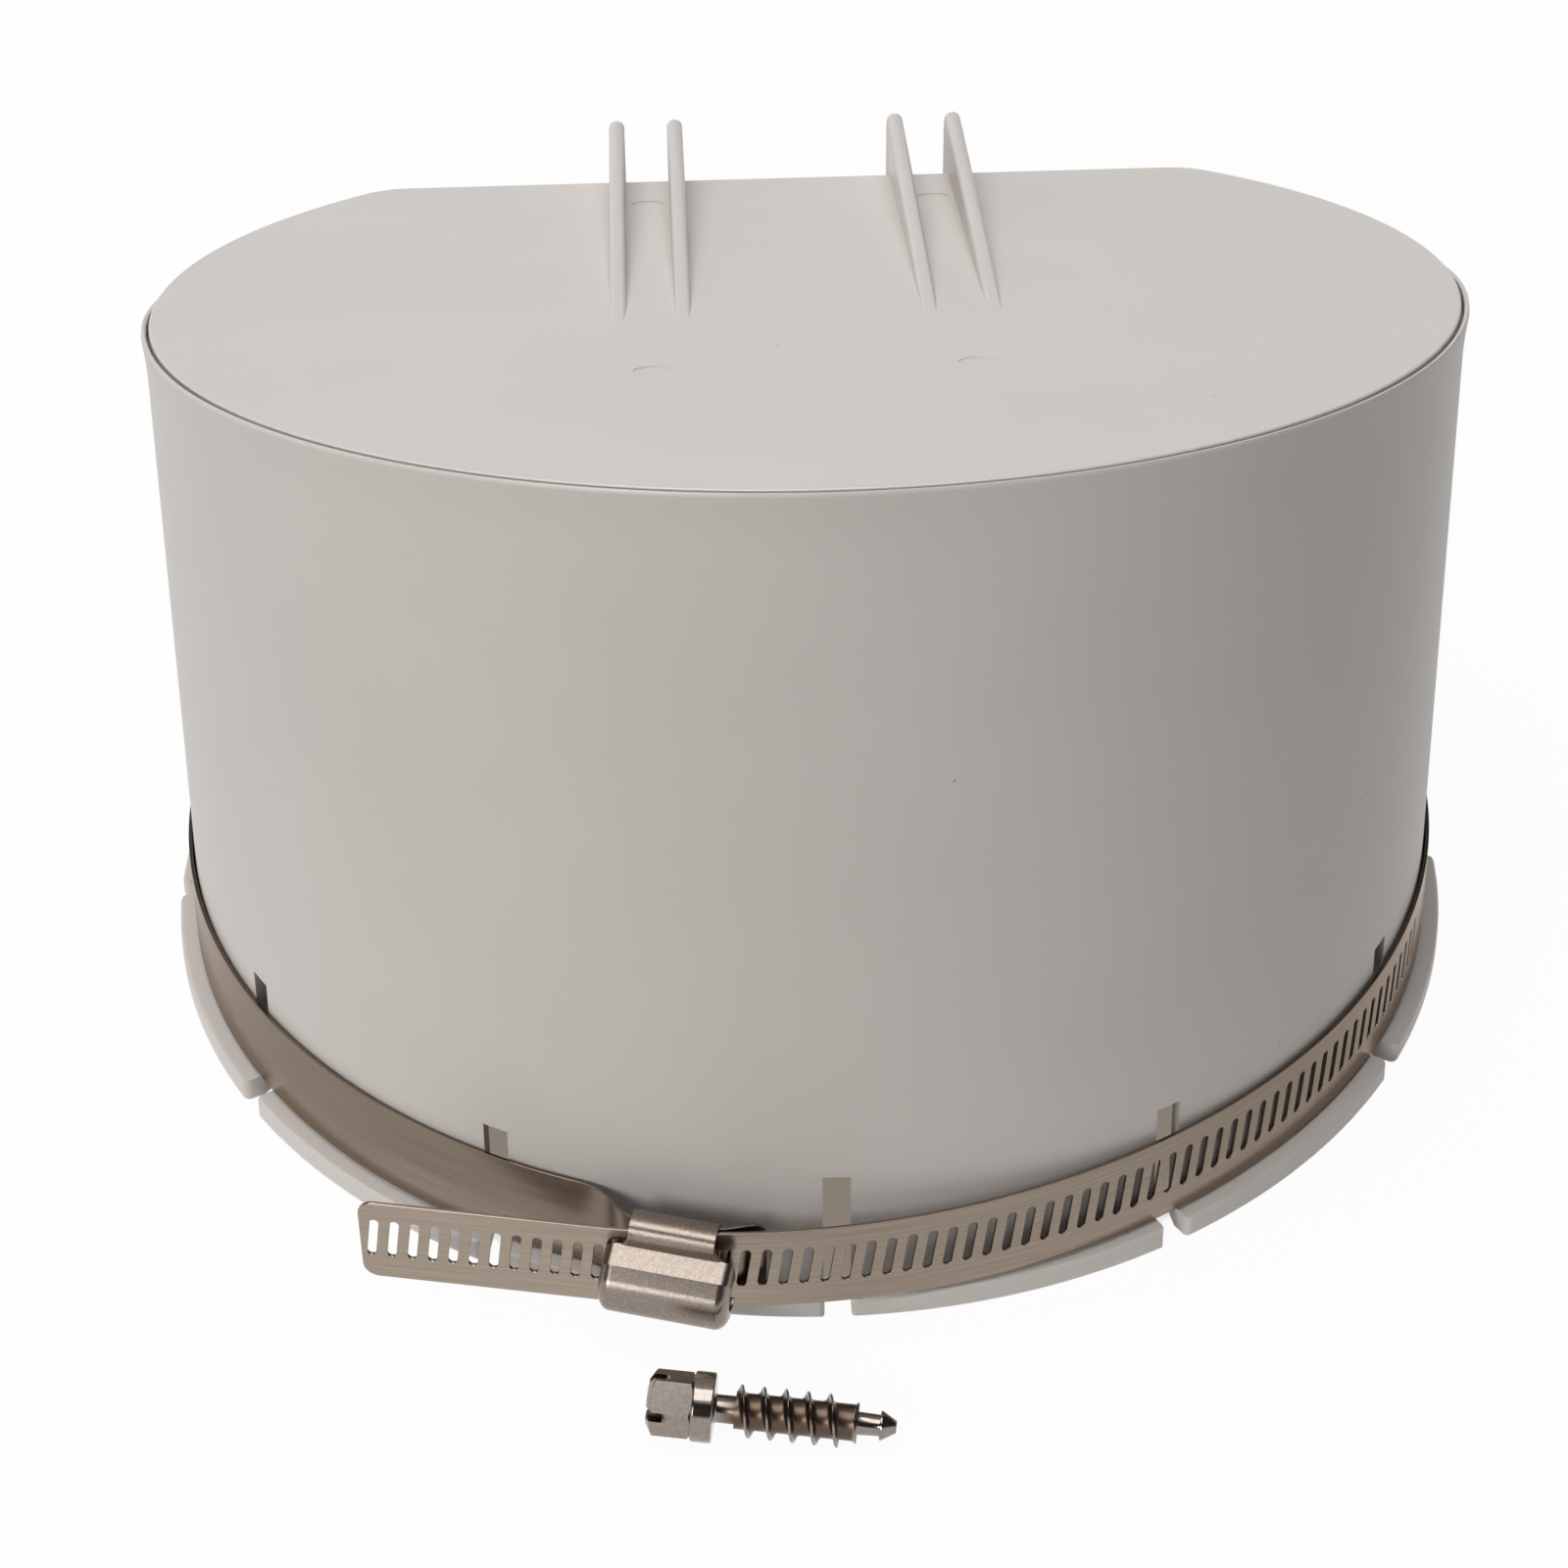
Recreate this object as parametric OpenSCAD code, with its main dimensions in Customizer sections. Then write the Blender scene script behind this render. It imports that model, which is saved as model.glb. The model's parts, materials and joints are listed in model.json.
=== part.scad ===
// Pipe-end vent: a slotted sleeve that clamps round a pipe, closed by a sloping hinged flap.
// Millimetres. The sleeve axis is Z, the foot rests on Z = 0 and the clamp faces -Y.

/* [Pipe socket] */
// Outside diameter of the pipe that the sleeve is pushed over
pipe_d = 160; // [60:1:260]
// Radial clearance between the pipe and the socket
pipe_clearance = 0.1; // [0:0.05:0.3]
// Depth of the socket up to the pipe stop
socket_depth = 45; // [30:1:70]
// Step that stops the pipe
stop_step = 0.9; // [0.5:0.1:3]

/* [Sleeve] */
// Wall thickness of the skirt
skirt_wall = 2.9; // [2:0.1:5]
// Height of the flap's upper face on the sleeve axis
crown_height = 95; // [80:1:140]
// Slope of the flap, highest at the front
flap_slope = 16.65; // [8:0.05:20]
// Narrowing of the wall per millimetre of height
wall_draft = 0.0078; // [0:0.0002:0.02]
// Distance of the flat back wall from the axis, as a part of the skirt radius
back_ratio = 0.7253; // [0.68:0.0001:0.8]
// Thickness of the flat back wall
back_wall = 3; // [2:0.1:5]
// Thickness of the shelf under the flat back wall
shelf = 3; // [2:0.1:6]

/* [Skirt slots and foot] */
// Number of slots that let the skirt squeeze onto the pipe
slot_count = 12; // [6:1:16]
// Width of each slot
slot_width = 3.3; // [2:0.1:6]
// Height of the slots above the foot
slot_height = 20.5; // [18:0.5:30]
// How far the foot flange stands out from the skirt
flange_out = 2.9; // [1.5:0.1:6]
// Thickness of the foot flange
flange_height = 3.1; // [2:0.1:3.4]
// Rounding of the flange edges
flange_round = 0.6; // [0.2:0.1:1]

/* [Rim lip] */
// How far the lip round the front of the flap stands out from the wall
lip_out = 0.55; // [0.4:0.05:1.5]
// Thickness of the lip at its top
lip_wall = 0.62; // [0.5:0.02:1.5]
// Clearance between the flap edge and the lip
lip_gap = 0.5; // [0.4:0.05:0.8]
// Height over which the wall flares out into the lip
lip_flare = 8; // [5:0.5:12]
// How far behind the axis the lip ends
lip_reach = 6; // [0:1:10]
// Length over which the lip dies away at its ends
lip_fade = 16; // [5:1:30]

/* [Flap] */
// Thickness of the flap
flap_thickness = 2.2; // [1.6:0.1:3]
// Clearance between the closed flap and its seat
seat_gap = 0.3; // [0.1:0.05:0.5]
// How far the middle of the round edge lies behind the axis, which brings the edge flush behind the lip
flap_shift = 0.35; // [0:0.05:0.4]
// Corner radius where the round edge meets the straight back edge
flap_corner = 8; // [3:0.5:12]
// Distance of each fin pair from the middle
fin_pair_x = 19.25; // [16:0.25:40]
// Distance between the middles of the two fins of a pair
fin_spacing = 8; // [7:0.25:12]
// Thickness of a fin
fin_thickness = 2.1; // [1.4:0.1:3]
// Where the fins start, measured up the slope from the axis
fin_front = 13; // [0:1:40]
// Height of the fins at the back edge
fin_height = 7.6; // [5:0.1:12]
// Radius of the rounded back end of a fin
fin_nose = 5; // [3:0.25:5]
// Depth of the round ejector marks on the flap
mark_depth = 0.12; // [0.05:0.01:0.3]
// Diameter of the ejector marks
mark_d = 4.6; // [3:0.1:8]

/* [Hinge] */
// Distance of the hinge axis behind the flat back wall
hinge_out = 4.8; // [4.6:0.1:8]
// Distance of the hinge axis below the flap's upper face, square to the face
hinge_drop = 7.3; // [6:0.1:10]
// Radius of the fin eyes
eye_r = 4.2; // [3:0.1:4.3]
// Radius of the sleeve lugs that stand between the fins
lug_r = 3.8; // [3:0.1:4.3]
// Clearance between a lug and the fins beside it
lug_gap = 0.3; // [0.1:0.05:0.6]
// Diameter of the hinge pins
pin_d = 3; // [2:0.1:4]
// Radial clearance of a fin eye on its pin
pin_clearance = 0.05; // [0.02:0.01:0.08]
// Radial clearance of a pin in its lug
pin_seat = 0.01; // [0.01:0.01:0.02]
// How far a pin stands out beyond the fins
pin_proud = 0.8; // [0:0.1:2]

/* [Clamp band] */
// Width of the band
band_width = 12.7; // [8:0.1:16]
// Thickness of the band
band_t = 0.5; // [0.4:0.05:0.7]
// Clearance between the band and the skirt
band_gap = 0.45; // [0.2:0.05:0.8]
// Gap between the band and the foot flange
band_lift = 0.6; // [0.3:0.1:2]
// How far the free tail stands off the line of the band
tail_stand_off = 5.7; // [4:0.1:8]
// Direction from the axis that the free tail faces
tail_facing = -101.7; // [-120:0.1:-90]
// Radius added to the band where it eases off the skirt towards the clamp
ease_radius = 13.9; // [12:0.1:20]
// Lean of the tail and housing, top outwards
clamp_tilt = 3.5; // [0:0.5:10]
// Length of the straight tail
tail_length = 29.8; // [15:0.1:50]
// Corner radius at both ends of the band
end_round = 2; // [0.5:0.1:4]
// Distance of the first slot from the tail end
first_slot = 1.6; // [1:0.1:6]
// Pitch of the slots that the worm engages
band_pitch = 2.55; // [2:0.01:4]
// Number of slots in the band
band_slots = 64; // [20:1:70]
// Width of a band slot
band_slot_w = 1.15; // [0.8:0.05:1.6]
// Length of a band slot
band_slot_h = 6.2; // [4:0.1:7]
// Height of the slots above the middle of the band
band_slot_up = 0.4; // [0:0.1:1]
// Lean of the band slots
band_slot_lean = 7.5; // [0:0.5:12]

/* [Clamp housing] */
// Distance along the band from the end of the straight tail to the housing middle
housing_station = 9; // [8:0.1:20]
// Turn of the slack housing against the band
housing_skew = 8; // [0:0.5:8]
// Sheet thickness of the housing
sheet = 0.7; // [0.5:0.05:1.2]
// Length of the worm cover
cover_length = 16.2; // [14:0.1:20]
// Length of the strap round the band
strap_length = 10.6; // [8:0.1:14]
// Clearance between strap and band edges
strap_gap = 0.25; // [0.15:0.05:0.4]
// Depth of the space in the strap for the two band layers
strap_depth = 3.05; // [3:0.05:4]
// Bend radius where the fixed end runs in to the skirt
joggle_in = 4; // [2:0.25:6]
// Bend radius where the fixed end meets the skirt
joggle_out = 9; // [3:0.25:12]

/* [Worm screw] */
// Diameter over the worm crests
worm_d = 6.4; // [5:0.1:9]
// Diameter of the worm core
core_d = 4.5; // [3:0.1:6]
// Length of the worm
worm_length = 14.2; // [10:0.1:15]
// Width across the flats of the hexagon head
hex_flats = 7; // [5:0.1:8]
// Length of the hexagon head
hex_length = 5.4; // [3:0.1:8]
// Diameter of the collar behind the head
collar_d = 8.5; // [7.5:0.1:11]
// Length of the collar
collar_length = 2.6; // [1:0.1:4]
// Diameter of the neck between collar and worm
neck_d = 3.4; // [2.5:0.1:4]
// Length of the neck
neck_length = 3; // [1:0.1:5]
// Diameter of the end pin
tip_d = 2.6; // [1.5:0.1:3.2]
// Length of the end pin
tip_length = 2.6; // [1:0.1:4]
// Diameter of the barb at the end
barb_d = 3.5; // [2.5:0.1:4]
// Length of the barb
barb_length = 2; // [1:0.1:3]
// Width of the cross recess in the head
recess_width = 1.2; // [0.6:0.1:2]
// Depth of the cross recess in the head
recess_depth = 2.2; // [1:0.1:3]
// Where the head end of the loose screw lies beside the axis
screw_x = -23.6; // [-60:0.1:60]
// How far in front of the skirt the head end of the loose screw lies
screw_out = 20.9; // [16:0.1:60]
// Turn of the loose screw on the ground
screw_turn = -7.6; // [-180:0.1:180]

/* [Hidden] */
$fn = 96;
plastic = "#d6d1cc";
steel = "#b9b7b2";
e = 0.01;

socket_r = pipe_d / 2 + pipe_clearance;
skirt_r = socket_r + skirt_wall;
duct_r = socket_r - stop_step;
back_y = skirt_r * back_ratio;
shelf_top = socket_depth + shelf;
slope = tan(flap_slope);
rim_r = skirt_r - wall_draft * (crown_height + slope * skirt_r);
lip_or = rim_r + lip_out;
lip_ir = lip_or - lip_wall;
flap_r = lip_ir - lip_gap;
seat_depth = flap_thickness + seat_gap;
big = 4 * skirt_r;

// lip: its ledge just clears the flap, and its ends lie lip_reach behind the axis
lip_seat = seat_depth / cos(flap_slope) - 0.05;
lip_end = asin(lip_reach / lip_ir);
lip_steps = 64;

// hinge axis in the slope frame and in the sleeve frame
hinge_y = back_y + hinge_out;
hinge_a = (hinge_y + hinge_drop * sin(flap_slope)) / cos(flap_slope);
hinge_h = -hinge_drop;
hinge_z = crown_height - hinge_a * sin(flap_slope) + hinge_h * cos(flap_slope);
back_a = back_y / cos(flap_slope);
nose_a = back_a + 3.6;
nose_h = fin_height - fin_nose;
lug_width = fin_spacing - fin_thickness - 2 * lug_gap;
pin_length = fin_spacing + fin_thickness + 2 * pin_proud;

// band plan: every radius is to the middle of the strip
band_r = skirt_r + band_gap + band_t / 2;
tail_n = [cos(tail_facing), sin(tail_facing)];
tail_t = [-sin(tail_facing), cos(tail_facing)];
tail_off = band_r + tail_stand_off;
ease_r = band_r + ease_radius;
ease_n = tail_off - ease_r;
ease_t = -sqrt(pow(ease_radius, 2) - pow(ease_n, 2));
ease_c = ease_n * tail_n + ease_t * tail_t;
ease_from = atan2(-ease_c.y, -ease_c.x);
tail_end = tail_off * tail_n + (ease_t - tail_length) * tail_t;
ease_length = (ease_from - tail_facing) * PI / 180 * ease_r;

// housing frame: x along the band, y towards the axis, origin on the outside of the band
housing_a = tail_facing + housing_station / ease_r * 180 / PI;
housing_turn = housing_a + 90 - housing_skew;
housing_o = ease_c + (ease_r + band_t / 2) * [cos(housing_a), sin(housing_a)];
housing_x = [cos(housing_turn), sin(housing_turn)];
housing_y = [-sin(housing_turn), cos(housing_turn)];
strap_out = -0.75;
cover_rim = strap_out - 0.4;
strap_in = strap_out + strap_depth;
worm_y = -(worm_d / 2 - band_t - 0.3);
cover_r = worm_d / 2 + 0.15;

// the strap hangs in front of the foot flange, or else the band rises until the strap clears its top
strap_back = housing_o + (strap_in + sheet) * housing_y;
strap_foot = max(-strap_length / 2, min(strap_length / 2, -strap_back * housing_x));
strap_low = band_width / 2 + strap_gap + sheet;
strap_near = norm(strap_back + strap_foot * housing_x) - strap_low * sin(clamp_tilt);
strap_z = flange_height + band_lift + band_width / 2
    - strap_low * cos(clamp_tilt) + (strap_in + sheet) * sin(clamp_tilt);
band_clear = strap_near > flange_edge(strap_z) ? band_lift : max(band_lift, strap_gap + sheet + 0.3);
band_mid = flange_height + band_clear + band_width / 2;

// fixed end of the band: straight under the housing, then an S to the skirt
under_y = strap_in - strap_gap - band_t / 2;
under_left = strap_length / 2 - 1;
under_right = strap_length / 2 - 1;
joggle_a = housing_o - under_left * housing_x + (under_y + joggle_in) * housing_y;
joggle_b = meet(joggle_a, joggle_in + joggle_out, [0, 0], band_r + joggle_out);
joggle_turn = atan2(joggle_b.y - joggle_a.y, joggle_b.x - joggle_a.x);
joggle_land = atan2(joggle_b.y, joggle_b.x);
hook_r = 6;
hook_sweep = 24;
hook_length = 4.5;
hook_turn = housing_turn + hook_sweep;
hook_c = housing_o + under_right * housing_x + (under_y + hook_r) * housing_y;
hook_o = hook_c + hook_r * [sin(hook_turn), -cos(hook_turn)];

// loose screw: it rests on its collar and on the last crest of the worm
worm_from = hex_length + collar_length + neck_length;
worm_to = worm_from + worm_length;
screw_dip = atan((collar_d - worm_d) / 2 / (worm_to - 0.4 - hex_length - collar_length));
screw_z = (hex_length + collar_length) * sin(screw_dip) + collar_d / 2 * cos(screw_dip);

// the crossing of two circles that lies furthest to the left of the line between them
function meet(p, rp, q, rq) =
    let (d = norm(q - p), u = (q - p) / d, along = (d * d + rp * rp - rq * rq) / (2 * d),
         across = sqrt(rp * rp - along * along))
    p + along * u + across * [-u.y, u.x];

function wall_r(z) = skirt_r - wall_draft * z;

// radius of the foot flange at a height, with its rounded top
function flange_edge(z) =
    let (up = max(0, z - flange_height + flange_round))
    skirt_r + (up >= flange_round ? 0 : flange_out - flange_round + sqrt(pow(flange_round, 2) - up * up));

// lean of the outer layer: full from the tail through the housing, then easing to upright
function tilt_at(s) =
    let (from = tail_length + housing_station + cover_length / 2,
         k = min(1, max(0, (s - from) / (0.6 * ease_length))))
    clamp_tilt * (1 - k * k * (3 - 2 * k));

// half width of the strip at distance s from one of its rounded ends
function half_width(s) =
    band_width / 2 - (s < end_round ? end_round - sqrt(pow(end_round, 2) - pow(end_round - s, 2)) : 0);

// station on the slotted part of the band, measured from the tail end
function band_at(s) =
    s < tail_length ?
        let (p = tail_end + s * tail_t) [p.x, p.y, tail_facing + 90, tilt_at(s), half_width(s), 0]
    : s < tail_length + ease_length ?
        let (a = tail_facing + (s - tail_length) / ease_r * 180 / PI,
             p = ease_c + ease_r * [cos(a), sin(a)])
        [p.x, p.y, a + 90, tilt_at(s), band_width / 2, 0]
    : let (a = ease_from + (s - tail_length - ease_length) / band_r * 180 / PI)
        [band_r * cos(a), band_r * sin(a), a + 90, 0, band_width / 2, 0];

// station of the fixed end at a point, where k runs from 0 on the skirt to 1 in the housing
function fixed_at(p, turn, k, half = band_width / 2) =
    [p.x, p.y, turn, clamp_tilt * k, half, under_y * sin(clamp_tilt) * k];

function band_stations() = let (main = joggle_land + 360 - ease_from) concat(
    [for (s = [0, 0.06, 0.25, 0.55, 1]) band_at(s * end_round)],
    [for (i = [1:3]) band_at(end_round + (tail_length - end_round) * i / 3)],
    [for (i = [1:30]) band_at(tail_length + ease_length * i / 30)],
    [for (i = [1:96]) band_at(tail_length + ease_length + main * i / 96 * PI / 180 * band_r)],
    [for (i = [1:8]) let (a = joggle_land + 180 + (joggle_turn - joggle_land) * i / 8)
        fixed_at(joggle_b + joggle_out * [cos(a), sin(a)], a - 90, i / 16)],
    [for (i = [1:8]) let (a = joggle_turn + (housing_turn - 90 - joggle_turn) * i / 8)
        fixed_at(joggle_a + joggle_in * [cos(a), sin(a)], a + 90, 0.5 + i / 16)],
    [for (i = [0:4]) let (a = housing_turn + hook_sweep * i / 4)
        fixed_at(hook_c + hook_r * [sin(a), -cos(a)], a, 1)],
    [for (s = [1, 0.55, 0.25, 0.06, 0]) let (d = s * end_round)
        fixed_at(hook_o + (hook_length - d) * [cos(hook_turn), sin(hook_turn)], hook_turn, 1, half_width(d))]
);

// one section of the lip at plan angle a, from the ledge corner round the outside: radius and drop;
// k is what is left of the lip there
function lip_section(a) =
    let (w = wall_r(crown_height - slope * rim_r * sin(a) - lip_flare) + 0.03,
         k = min(1, 0.12 + 0.88 * (lip_reach - lip_ir * sin(a)) / lip_fade), g = (lip_or - w) * k,
         top = lip_seat * (1 - k), r = w + g, in = min(lip_ir, r - 0.45))
    [for (p = [
        [in, lip_seat], [w - 1, lip_seat], [w - 1, lip_flare], [w, lip_flare],
        [w + g * 0.06, lip_flare * 0.76], [w + g * 0.26, lip_flare * 0.53],
        [w + g * 0.58, top + (lip_flare - top) * 0.31], [r, top + 0.85 * k], [r - 0.06, top + 0.45 * k],
        [r - 0.2, top + 0.2 * k], [in + 0.2, top + 0.2 * k], [in, top + 0.42 * k]
    ]) [p[0] * cos(a), p[0] * sin(a), crown_height - slope * p[0] * sin(a) - p[1]]];

// one section of the band at a station [x, y, heading, tilt, half width, lift]
function band_section(q) =
    let (out = [sin(q[2]), -cos(q[2])], up = [out.x * sin(q[3]), out.y * sin(q[3]), cos(q[3])],
         face = [out.x * cos(q[3]), out.y * cos(q[3]), -sin(q[3])], c = [q[0], q[1], band_mid + q[5]])
    [for (k = [[1, -1], [-1, -1], [-1, 1], [1, 1]]) c + k[0] * q[4] * up + k[1] * band_t / 2 * face];

module in_slope() translate([0, 0, crown_height]) rotate([-flap_slope, 0, 0]) children();

// a plate square to X, drawn in the Y-Z plane and centred on x
module upright(x, t) translate([x - t / 2, 0, 0]) rotate([90, 0, 90]) linear_extrude(t) children();

module in_housing()
    translate([housing_o.x, housing_o.y, band_mid]) rotate([clamp_tilt, 0, housing_turn]) children();

// solid through a row of like sections, each listed anticlockwise as seen against the row
module skin(sections) {
    n = len(sections[0]);
    last = len(sections) - 1;
    sides = [for (i = [0:last - 1], j = [0:n - 1])
        let (k = (j + 1) % n, a = i * n, b = a + n) each [[a + j, a + k, b + k], [a + j, b + k, b + j]]];
    start = [0, for (j = [n - 1:-1:1]) j];
    finish = [for (j = [0:n - 1]) last * n + j];
    polyhedron(points = [for (q = sections) each q], faces = concat(sides, [start, finish]), convexity = 8);
}

module rim_lip()
    skin([for (i = [0:lip_steps]) lip_section(180 - lip_end + (180 + 2 * lip_end) * i / lip_steps)]);

module foot_flange() {
    r = skirt_r + flange_out - flange_round;
    rotate_extrude() {
        translate([socket_r - e, 0]) square([r - socket_r, flange_height]);
        translate([socket_r, flange_round])
            square([r + flange_round - socket_r, flange_height - 2 * flange_round]);
        for (z = [flange_round, flange_height - flange_round]) translate([r, z]) circle(flange_round);
    }
}

module hinge_lug(x) {
    reach = hinge_y + lug_r * cos(45) - back_y + 1;
    upright(x, lug_width) {
        translate([hinge_y, hinge_z]) circle(lug_r);
        polygon([
            [back_y - 1, hinge_z + lug_r], [hinge_y, hinge_z + lug_r],
            [hinge_y + lug_r * cos(45), hinge_z - lug_r * sin(45)],
            [back_y - 1, hinge_z - lug_r * sin(45) - reach]
        ]);
    }
}

module sleeve() color(plastic) difference() {
    union() {
        difference() {
            cylinder(h = 2 * crown_height, r1 = skirt_r, r2 = wall_r(2 * crown_height));
            in_slope() translate([-big / 2, -big / 2, -seat_depth]) cube([big, big, big]);
            translate([-big / 2, back_y, shelf_top]) cube([big, big, big]);
        }
        foot_flange();
        rim_lip();
        for (s = [-1, 1]) hinge_lug(s * fin_pair_x);
    }
    translate([0, 0, -1]) cylinder(h = socket_depth + 1, r = socket_r);
    intersection() {
        translate([0, 0, socket_depth - 5]) cylinder(h = big, r = duct_r);
        translate([-big / 2, back_y - back_wall - big, 0]) cube([big, big, 2 * big]);
    }
    for (i = [0:slot_count - 1]) rotate(-90 + i * 360 / slot_count)
        translate([duct_r - 5, -slot_width / 2, -1]) cube([flange_out + 15, slot_width, slot_height + 1]);
    for (s = [-1, 1]) upright(s * fin_pair_x, lug_width + 2)
        translate([hinge_y, hinge_z]) circle(pin_d / 2 + pin_seat);
}

// D outline of the flap in plan; the corner circles stand out by e, so that no two edges only touch
module flap_outline() {
    r = flap_r + flap_shift;
    yc = back_y - flap_corner;
    xc = sqrt(pow(r - flap_corner, 2) - pow(yc - flap_shift, 2));
    k = r / (r - flap_corner);
    yt = flap_shift + k * (yc - flap_shift);
    intersection() {
        translate([0, flap_shift]) circle(r);
        translate([-r - 1, -r - 1]) square([2 * r + 2, r + 1 + yt]);
    }
    polygon([[-k * xc, yt], [k * xc, yt], [xc, back_y], [-xc, back_y]]);
    for (s = [-1, 1]) translate([s * xc, yc]) circle(flap_corner + e);
}

// side view of a fin in the slope frame: blade, rounded back end, arm down to the eye
module fin_side() {
    d = norm([nose_a + fin_front, nose_h]);
    rise = atan2(nose_h, nose_a + fin_front) + asin(fin_nose / d);
    arm = atan2(hinge_h - nose_h, hinge_a - nose_a);
    lean = acos((fin_nose - eye_r) / norm([hinge_a - nose_a, hinge_h - nose_h]));
    side = [cos(arm + lean), sin(arm + lean)];
    other = [cos(arm - lean), sin(arm - lean)];
    bury = flap_thickness / 2;
    nose_in = fin_nose - e;
    eye_in = eye_r - e;
    difference() {
        union() {
            polygon([
                [-fin_front, -bury], [-fin_front, 0],
                [nose_a - nose_in * sin(rise), nose_h + nose_in * cos(rise)],
                [nose_a, nose_h], [nose_a, -bury]
            ]);
            translate([nose_a, nose_h]) circle(fin_nose);
            polygon([
                [nose_a, nose_h] + nose_in * side, [hinge_a, hinge_h] + eye_in * side,
                [hinge_a, hinge_h] + eye_in * other, [nose_a, nose_h] + nose_in * other
            ]);
            translate([hinge_a, hinge_h]) circle(eye_r);
        }
        translate([hinge_a, hinge_h]) circle(pin_d / 2 + pin_clearance);
        let (clear = back_y + 0.6, low = -3 * hinge_drop)
            polygon([
                [0, -bury], [(clear + bury * sin(flap_slope)) / cos(flap_slope), -bury],
                [(clear - low * sin(flap_slope)) / cos(flap_slope), low], [0, low]
            ]);
    }
}

module flap() color(plastic) difference() {
    union() {
        intersection() {
            linear_extrude(2 * crown_height) flap_outline();
            in_slope() translate([-big / 2, -big / 2, -flap_thickness]) cube([big, big, flap_thickness]);
        }
        in_slope() for (s = [-1, 1], q = [-1, 1])
            upright(s * fin_pair_x + q * fin_spacing / 2, fin_thickness) fin_side();
    }
    in_slope() for (s = [-1, 1], a = [-35.3, 48.9])
        translate([s * fin_pair_x, a, -mark_depth]) cylinder(h = 1, d = mark_d);
}

module hinge_pin(x) color(steel) translate([x - pin_length / 2, hinge_y, hinge_z]) rotate([0, 90, 0]) {
    bevel = pin_d / 10;
    cylinder(h = bevel, r1 = pin_d / 2 - bevel, r2 = pin_d / 2);
    translate([0, 0, bevel]) cylinder(h = pin_length - 2 * bevel, d = pin_d);
    translate([0, 0, pin_length - bevel]) cylinder(h = bevel, r1 = pin_d / 2, r2 = pin_d / 2 - bevel);
}

module hinge_pin_left() hinge_pin(-fin_pair_x);

module hinge_pin_right() hinge_pin(fin_pair_x);

module band_slot() rotate([0, band_slot_lean, 0]) {
    cube([band_slot_w, 4 * band_t, band_slot_h - band_slot_w], center = true);
    for (s = [-1, 1]) translate([0, 0, s * (band_slot_h - band_slot_w) / 2]) rotate([90, 0, 0])
        cylinder(h = 4 * band_t, d = band_slot_w, center = true);
}

module clamp_band() color(steel) difference() {
    skin([for (q = band_stations()) band_section(q)]);
    for (i = [0:band_slots - 1]) let (q = band_at(first_slot + i * band_pitch))
        translate([q[0], q[1], band_mid]) rotate([q[3], 0, q[2]])
            translate([0, 0, band_slot_up]) band_slot();
}

// half-round trough along x, open towards the band
module trough(length, r) {
    translate([-length / 2, worm_y, 0]) rotate([0, 90, 0]) cylinder(h = length, r = r);
    translate([-length / 2, worm_y, -r]) cube([length, cover_rim - worm_y, 2 * r]);
}

module clamp_housing() color(steel) in_housing() difference() {
    tall = band_width + 2 * strap_gap;
    union() {
        trough(cover_length, cover_r + sheet);
        translate([-strap_length / 2, strap_out - sheet, -tall / 2 - sheet])
            cube([strap_length, strap_depth + 2 * sheet, tall + 2 * sheet]);
    }
    trough(cover_length - 2 * sheet, cover_r);
    translate([-strap_length, strap_out, -tall / 2]) cube([2 * strap_length, strap_depth, tall]);
    for (x = [-cover_length, strap_length / 2]) translate([x, cover_rim, -tall / 2])
        cube([cover_length - strap_length / 2, strap_depth, tall]);
    translate([0, worm_y, 0]) rotate([0, 90, 0]) cylinder(h = cover_length, d = neck_d + 2 * strap_gap);
    translate([0, worm_y, 0]) rotate([0, -90, 0]) cylinder(h = cover_length, d = tip_d + 2 * strap_gap);
}

// along X on the ground, head first
module on_ground() translate([screw_x, -skirt_r - screw_out, screw_z])
    rotate([0, screw_dip, screw_turn]) rotate([0, 90, 0]) children();

module clamp_screw() color(steel) on_ground() difference() {
    corner = hex_flats / 2 / cos(30);
    union() {
        intersection() {
            cylinder(h = hex_length, r = corner, $fn = 6);
            cylinder(h = hex_length, r1 = hex_flats / 2 - 0.3, r2 = hex_flats / 2 - 0.3 + hex_length * 1.5);
        }
        translate([0, 0, hex_length - e]) cylinder(h = collar_length + e, d = collar_d);
        translate([0, 0, hex_length + collar_length - e]) cylinder(h = neck_length + 2 * e, d = neck_d);
        translate([0, 0, worm_from]) cylinder(h = worm_length, d = core_d);
        translate([0, 0, worm_to - e]) cylinder(h = tip_length + 2 * e, d = tip_d);
        translate([0, 0, worm_to + tip_length]) cylinder(h = barb_length, d1 = barb_d, d2 = tip_d - 0.8);
    }
    for (a = [0, 90]) rotate(a + 45)
        translate([-hex_flats, -recess_width / 2, -1]) cube([2 * hex_flats, recess_width, recess_depth + 1]);
}

sleeve();
flap();
hinge_pin_left();
hinge_pin_right();
clamp_band();
clamp_housing();
clamp_screw();
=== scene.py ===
import json
import math

import bmesh
import bpy
from mathutils import Matrix, Vector


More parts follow.
